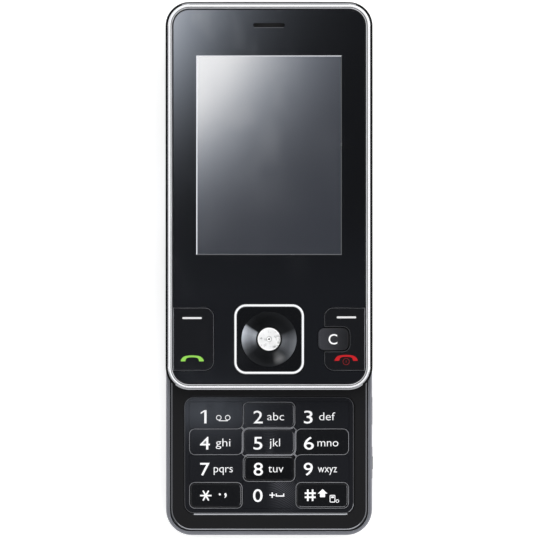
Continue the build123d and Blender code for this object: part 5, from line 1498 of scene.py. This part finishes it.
class PHONE_OT_moving_links(bpy.types.Operator):
    """Builds the springs and the ribbon that reach from one half to the other"""

    bl_idname = "phone.moving_links"
    bl_label = "Springs and ribbon"
    # how finely the wire is drawn: points round it, lengths in a leg and degrees in a step of a winding
    wire_points = 10
    leg_steps = 8
    winding_step = 15.0

    def execute(self, context):
        look = context.scene.phone_links
        self.low, self.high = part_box("assist_springs")
        springs = [self.spring(name, side, look) for name, side in (("left", -1.0), ("right", 1.0))]
        for spring in springs:
            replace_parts(spring, "assist_springs")
        film = grained("Amber film", (0.45, 0.16, 0.03), 0.35, 0.1, 2500.0, 0.06, 0.05, Coat_Weight=0.5)
        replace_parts(self.ribbon(look, film), "slide_flex")
        return {"FINISHED"}

    def spring(self, name, side, look):
        """A wound spring between a post on each half."""
        post = Vector((side * look.post_x, look.post_y, self.low.z + look.wire))
        far = Vector((side * look.far_x, look.far_y, self.high.z - look.wire))
        coil = Vector((side * look.coil_x, look.coil_y, 0.0))
        mean = look.coil_radius - look.wire
        pieces = []
        angles = []
        for end in (post, far):
            along = Vector((coil.x - end.x, coil.y - end.y, 0.0)).normalized()
            outside = Vector((along.y, -along.x, 0.0)) * side
            start = end + along * look.eye_radius
            pieces.append(self.leg(start, Vector((coil.x, coil.y, end.z)) + outside * mean, look.wire))
            pieces.append(self.winding(end, look.eye_radius, look.wire))
            angles.append(math.degrees(math.atan2(outside.y, outside.x)))
        turn = side * (side * (angles[1] - angles[0]) % 360.0 + 360.0)
        coil.z = post.z
        pieces.append(self.winding(coil, mean, look.wire, angles[0], turn, far.z - post.z))
        spring = join(f"{name}_spring", pieces)
        smooth(spring, 40.0)
        finish_piece(spring, None, "spring_steel", spring_steel())
        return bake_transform(spring)

    def leg(self, start, end, wire):
        """A straight length of wire, drawn out from a disc."""
        run = end - start
        leg = start_disc("leg", start, wire, self.wire_points, run.to_track_quat("Z", "Y").to_euler())
        for _ in range(self.leg_steps):
            extrude(run / self.leg_steps)
        close_shell()
        return leg

    def winding(self, middle, radius, wire, angle=0.0, turn=360.0, rise=0.0):
        """Wire wound round an upright axis, step by step from a circle; a closed eye unless it rises."""
        place = middle + Vector((radius, 0.0, 0.0))
        obj = start_disc("winding", place, wire, self.wire_points, (math.pi / 2, 0.0, 0.0), "NOTHING")
        bpy.ops.mesh.select_mode(type="VERT")
        bpy.ops.mesh.select_all(action="SELECT")
        bpy.ops.transform.rotate(value=-math.radians(angle), orient_axis="Z", center_override=middle)
        steps = max(12, round(abs(turn) / self.winding_step))
        step = -math.radians(turn / steps)
        for _ in range(steps):
            extrude((0.0, 0.0, rise / steps))
            bpy.ops.transform.rotate(value=step, orient_axis="Z", center_override=middle)
        bpy.ops.mesh.select_all(action="SELECT")
        bpy.ops.mesh.remove_doubles(threshold=SAME)
        if rise:
            pick(obj, "EDGE", lambda edge: edge.is_boundary)
            bpy.ops.mesh.fill()
        close_shell()
        return obj

    def ribbon(self, look, film):
        """The flat ribbon, drawn out edge by edge, its corners rounded and its film given a thickness."""
        low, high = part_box("slide_flex")
        half = (high.x - low.x) / 2
        thick, lower, upper = look.film_thickness, look.ribbon_low, look.ribbon_high
        bottom, top = low.z + thick / 2, high.z - thick / 2
        path = (
            (look.lower_slot + 3.3 * MM, bottom), (look.lower_slot, bottom), (look.lower_slot, lower),
            (look.turn_y, lower), (look.turn_y, upper), (look.upper_slot, upper), (look.upper_slot, top),
            (look.upper_slot - 2.4 * MM, top),
        )
        begin, height = path[0]

        def at(v, place):
            return abs(v.y - place[0]) < SAME and abs(v.z - place[1]) < SAME

        obj = start_plate("ribbon", -half, half, look.lower_slot, begin, height)
        for before, after in zip(path[1:], path[2:]):
            pick_edges(obj, lambda a, b: at(a, before) and at(b, before))
            extrude_edges((0.0, after[0] - before[0], after[1] - before[1]))
        wide, slim = (upper - lower) / 2 - 0.01 * MM, 0.2 * MM
        slots = (path[1], path[2], path[5], path[6])
        for places, radius, segments in ((path[3:5], wide, 6), (slots, slim, 3)):
            pick_edges(obj, lambda a, b: any(at(a, place) and at(b, place) for place in places))
            bpy.ops.mesh.bevel(offset=radius, segments=segments, affect="EDGES")
        close_shell()
        film_wall = obj.modifiers.new("Film", "SOLIDIFY")
        film_wall.thickness = thick
        film_wall.offset = 0.0
        bpy.ops.object.modifier_apply(modifier=film_wall.name)
        smooth(obj, 35.0)
        finish_piece(obj, None, "flex_film", film)
        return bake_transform(obj)


class PHONE_OT_stage(bpy.types.Operator):
    """Lays the floor, sets the soft light and places the camera"""

    bl_idname = "phone.stage"
    bl_label = "Floor, light and camera"
    # the lamp's own unit of direction: a slope of 1 from the zenith is this many units
    lamp_scale = 285.7
    # the exponents of the lamp and of the small glow on the keypad: 1, x, y, xx, xy, yy
    lamp_terms = (-8.066, -2.5377, 2.8214, -0.1332, 0.1988, -0.2300)
    pad_terms = (1.08, 0.0, 0.0, -1.9, 0.0, -20.0)
    lamp_limit = 34.0
    diagonal = 1.414
    # heights of a direction between which the surround gives way to the dim zenith
    zenith_edge = (0.985, 0.93)

    def execute(self, context):
        look = context.scene.phone_stage
        clear_selection()
        bpy.ops.mesh.primitive_plane_add(size=6.0, location=(0.0, 0.0, -0.05 * MM))
        floor = settle(bpy.context.active_object)
        floor.name = "table_top"
        floor.data.materials.append(self.table(look))
        self.light(context)
        self.camera(context)
        context.scene.view_settings.view_transform = "Standard"
        return {"FINISHED"}

    def table(self, look):
        """A plain pale floor that isn't in the way of a look from below."""
        table = grained("Pale table", look.floor_colour, 0.9, 0.01, 400.0, 0.02, 0.02, Emission_Strength=0.3)
        graph = Graph(table.node_tree)
        nodes = table.node_tree.nodes
        below = graph.node("ShaderNodeNewGeometry").outputs["Backfacing"]
        clear = graph.node("ShaderNodeBsdfTransparent").outputs[0]
        shown = graph.node("ShaderNodeMixShader", i0=below, i1=nodes["Principled BSDF"].outputs[0], i2=clear)
        graph.feed(nodes["Material Output"], Surface=shown.outputs[0])
        return table

    def light(self, context):
        """A bright soft surround, dim straight above, with one small soft lamp beside the zenith."""
        look = context.scene.phone_stage
        world = context.scene.world or bpy.data.worlds.new("Studio")
        context.scene.world = world
        world.use_nodes = True
        world.node_tree.nodes.clear()
        graph = Graph(world.node_tree)
        parts = graph.parts(graph.node("ShaderNodeTexCoord").outputs["Generated"])
        height = graph.math("MAXIMUM", parts["Z"], 0.02)
        scaled = [graph.times(parts[axis], self.lamp_scale) for axis in "XY"]
        across, along = (graph.math("DIVIDE", value, height) for value in scaled)
        lamp = graph.math("MINIMUM", self.falloff(graph, across, along, self.lamp_terms), self.lamp_limit)
        pad = self.falloff(graph, graph.plus(across, 1.1), graph.plus(along, 2.5), self.pad_terms)
        foot = graph.times(parts["Y"], -0.5)
        side = graph.times(graph.math("SUBTRACT", parts["X"], foot), look.side / self.diagonal)
        shade = graph.plus(side, 1.0)
        top = graph.spread(parts["Z"], *self.zenith_edge, look.zenith, 0.0)
        rim = graph.spread(parts["Z"], 0.12, 0.42, look.horizon, look.sky)
        sky = graph.times(rim, graph.spread(parts["Z"], *self.zenith_edge), shade)
        wide = graph.node("ShaderNodeBackground", Color=four(look.sky_colour), Strength=sky)
        tint = graph.mix(graph.spread(lamp, 6.0, 26.0), four(look.lamp_colour), four(look.sky_colour))
        strength = graph.plus(lamp, pad, graph.times(top, shade))
        close = graph.node("ShaderNodeBackground", Color=tint, Strength=strength)
        both = graph.node("ShaderNodeAddShader", i0=wide.outputs[0], i1=close.outputs[0])
        graph.node("ShaderNodeOutputWorld", Surface=both.outputs[0])

    def falloff(self, graph, x, y, terms):
        """A soft elliptical lamp: e to a second-degree curve of the direction."""
        products = (x, y, graph.times(x, x), graph.times(x, y), graph.times(y, y))
        total = terms[0]
        for term, product in zip(terms[1:], products):
            total = graph.times_plus(product, term, total)
        return graph.math("EXPONENT", total)

    def camera(self, context):
        look = context.scene.phone_stage
        camera = bpy.data.cameras.new("front_view")
        camera.lens = camera.sensor_width * (look.camera_height - top_of("front_window")) / look.view_width
        camera.clip_start = 0.05
        obj = bpy.data.objects.new("front_view", camera)
        context.scene.collection.objects.link(obj)
        obj.location = (look.view_x, look.view_y, look.camera_height)
        context.scene.camera = obj


class PHONE_PT_panel(bpy.types.Panel):
    """Lists the phone's sizes, colours and builders"""

    bl_label = "Slider phone"
    bl_idname = "PHONE_PT_panel"
    bl_space_type = "VIEW_3D"
    bl_region_type = "UI"
    bl_category = "Phone"

    def draw(self, context):
        for name, group in LOOKS.items():
            box = self.layout.box()
            box.label(text=group.__doc__)
            owner = getattr(context.scene, name)
            for setting in group.__annotations__:
                box.prop(owner, setting)
        for operator in OPERATORS:
            self.layout.operator(operator.bl_idname)


LOOKS = {
    "phone_body": BodyLook,
    "phone_trim": TrimLook,
    "phone_face": FaceLook,
    "phone_keypad": KeypadLook,
    "phone_links": LinkLook,
    "phone_stage": StageLook,
}
OPERATORS = (
    PHONE_OT_housings,
    PHONE_OT_inner_parts,
    PHONE_OT_bright_ring,
    PHONE_OT_face,
    PHONE_OT_navigation,
    PHONE_OT_key_marks,
    PHONE_OT_number_keys,
    PHONE_OT_lettering,
    PHONE_OT_side_keys,
    PHONE_OT_camera,
    PHONE_OT_moving_links,
    PHONE_OT_stage,
)


def register():
    for name, group in LOOKS.items():
        bpy.utils.register_class(group)
        setattr(bpy.types.Scene, name, PointerProperty(type=group))
    for operator in OPERATORS:
        bpy.utils.register_class(operator)
    bpy.utils.register_class(PHONE_PT_panel)


def unregister():
    bpy.utils.unregister_class(PHONE_PT_panel)
    for operator in reversed(OPERATORS):
        bpy.utils.unregister_class(operator)
    for name, group in LOOKS.items():
        delattr(bpy.types.Scene, name)
        bpy.utils.unregister_class(group)


def main():
    register()
    bpy.ops.phone.housings()
    bpy.ops.phone.inner_parts()
    bpy.ops.phone.bright_ring()
    bpy.ops.phone.face()
    bpy.ops.phone.navigation()
    bpy.ops.phone.key_marks()
    bpy.ops.phone.number_keys()
    bpy.ops.phone.lettering()
    bpy.ops.phone.side_keys()
    bpy.ops.phone.camera()
    bpy.ops.phone.moving_links()
    bpy.ops.phone.stage()
    clear_selection()


if __name__ == "__main__":
    main()
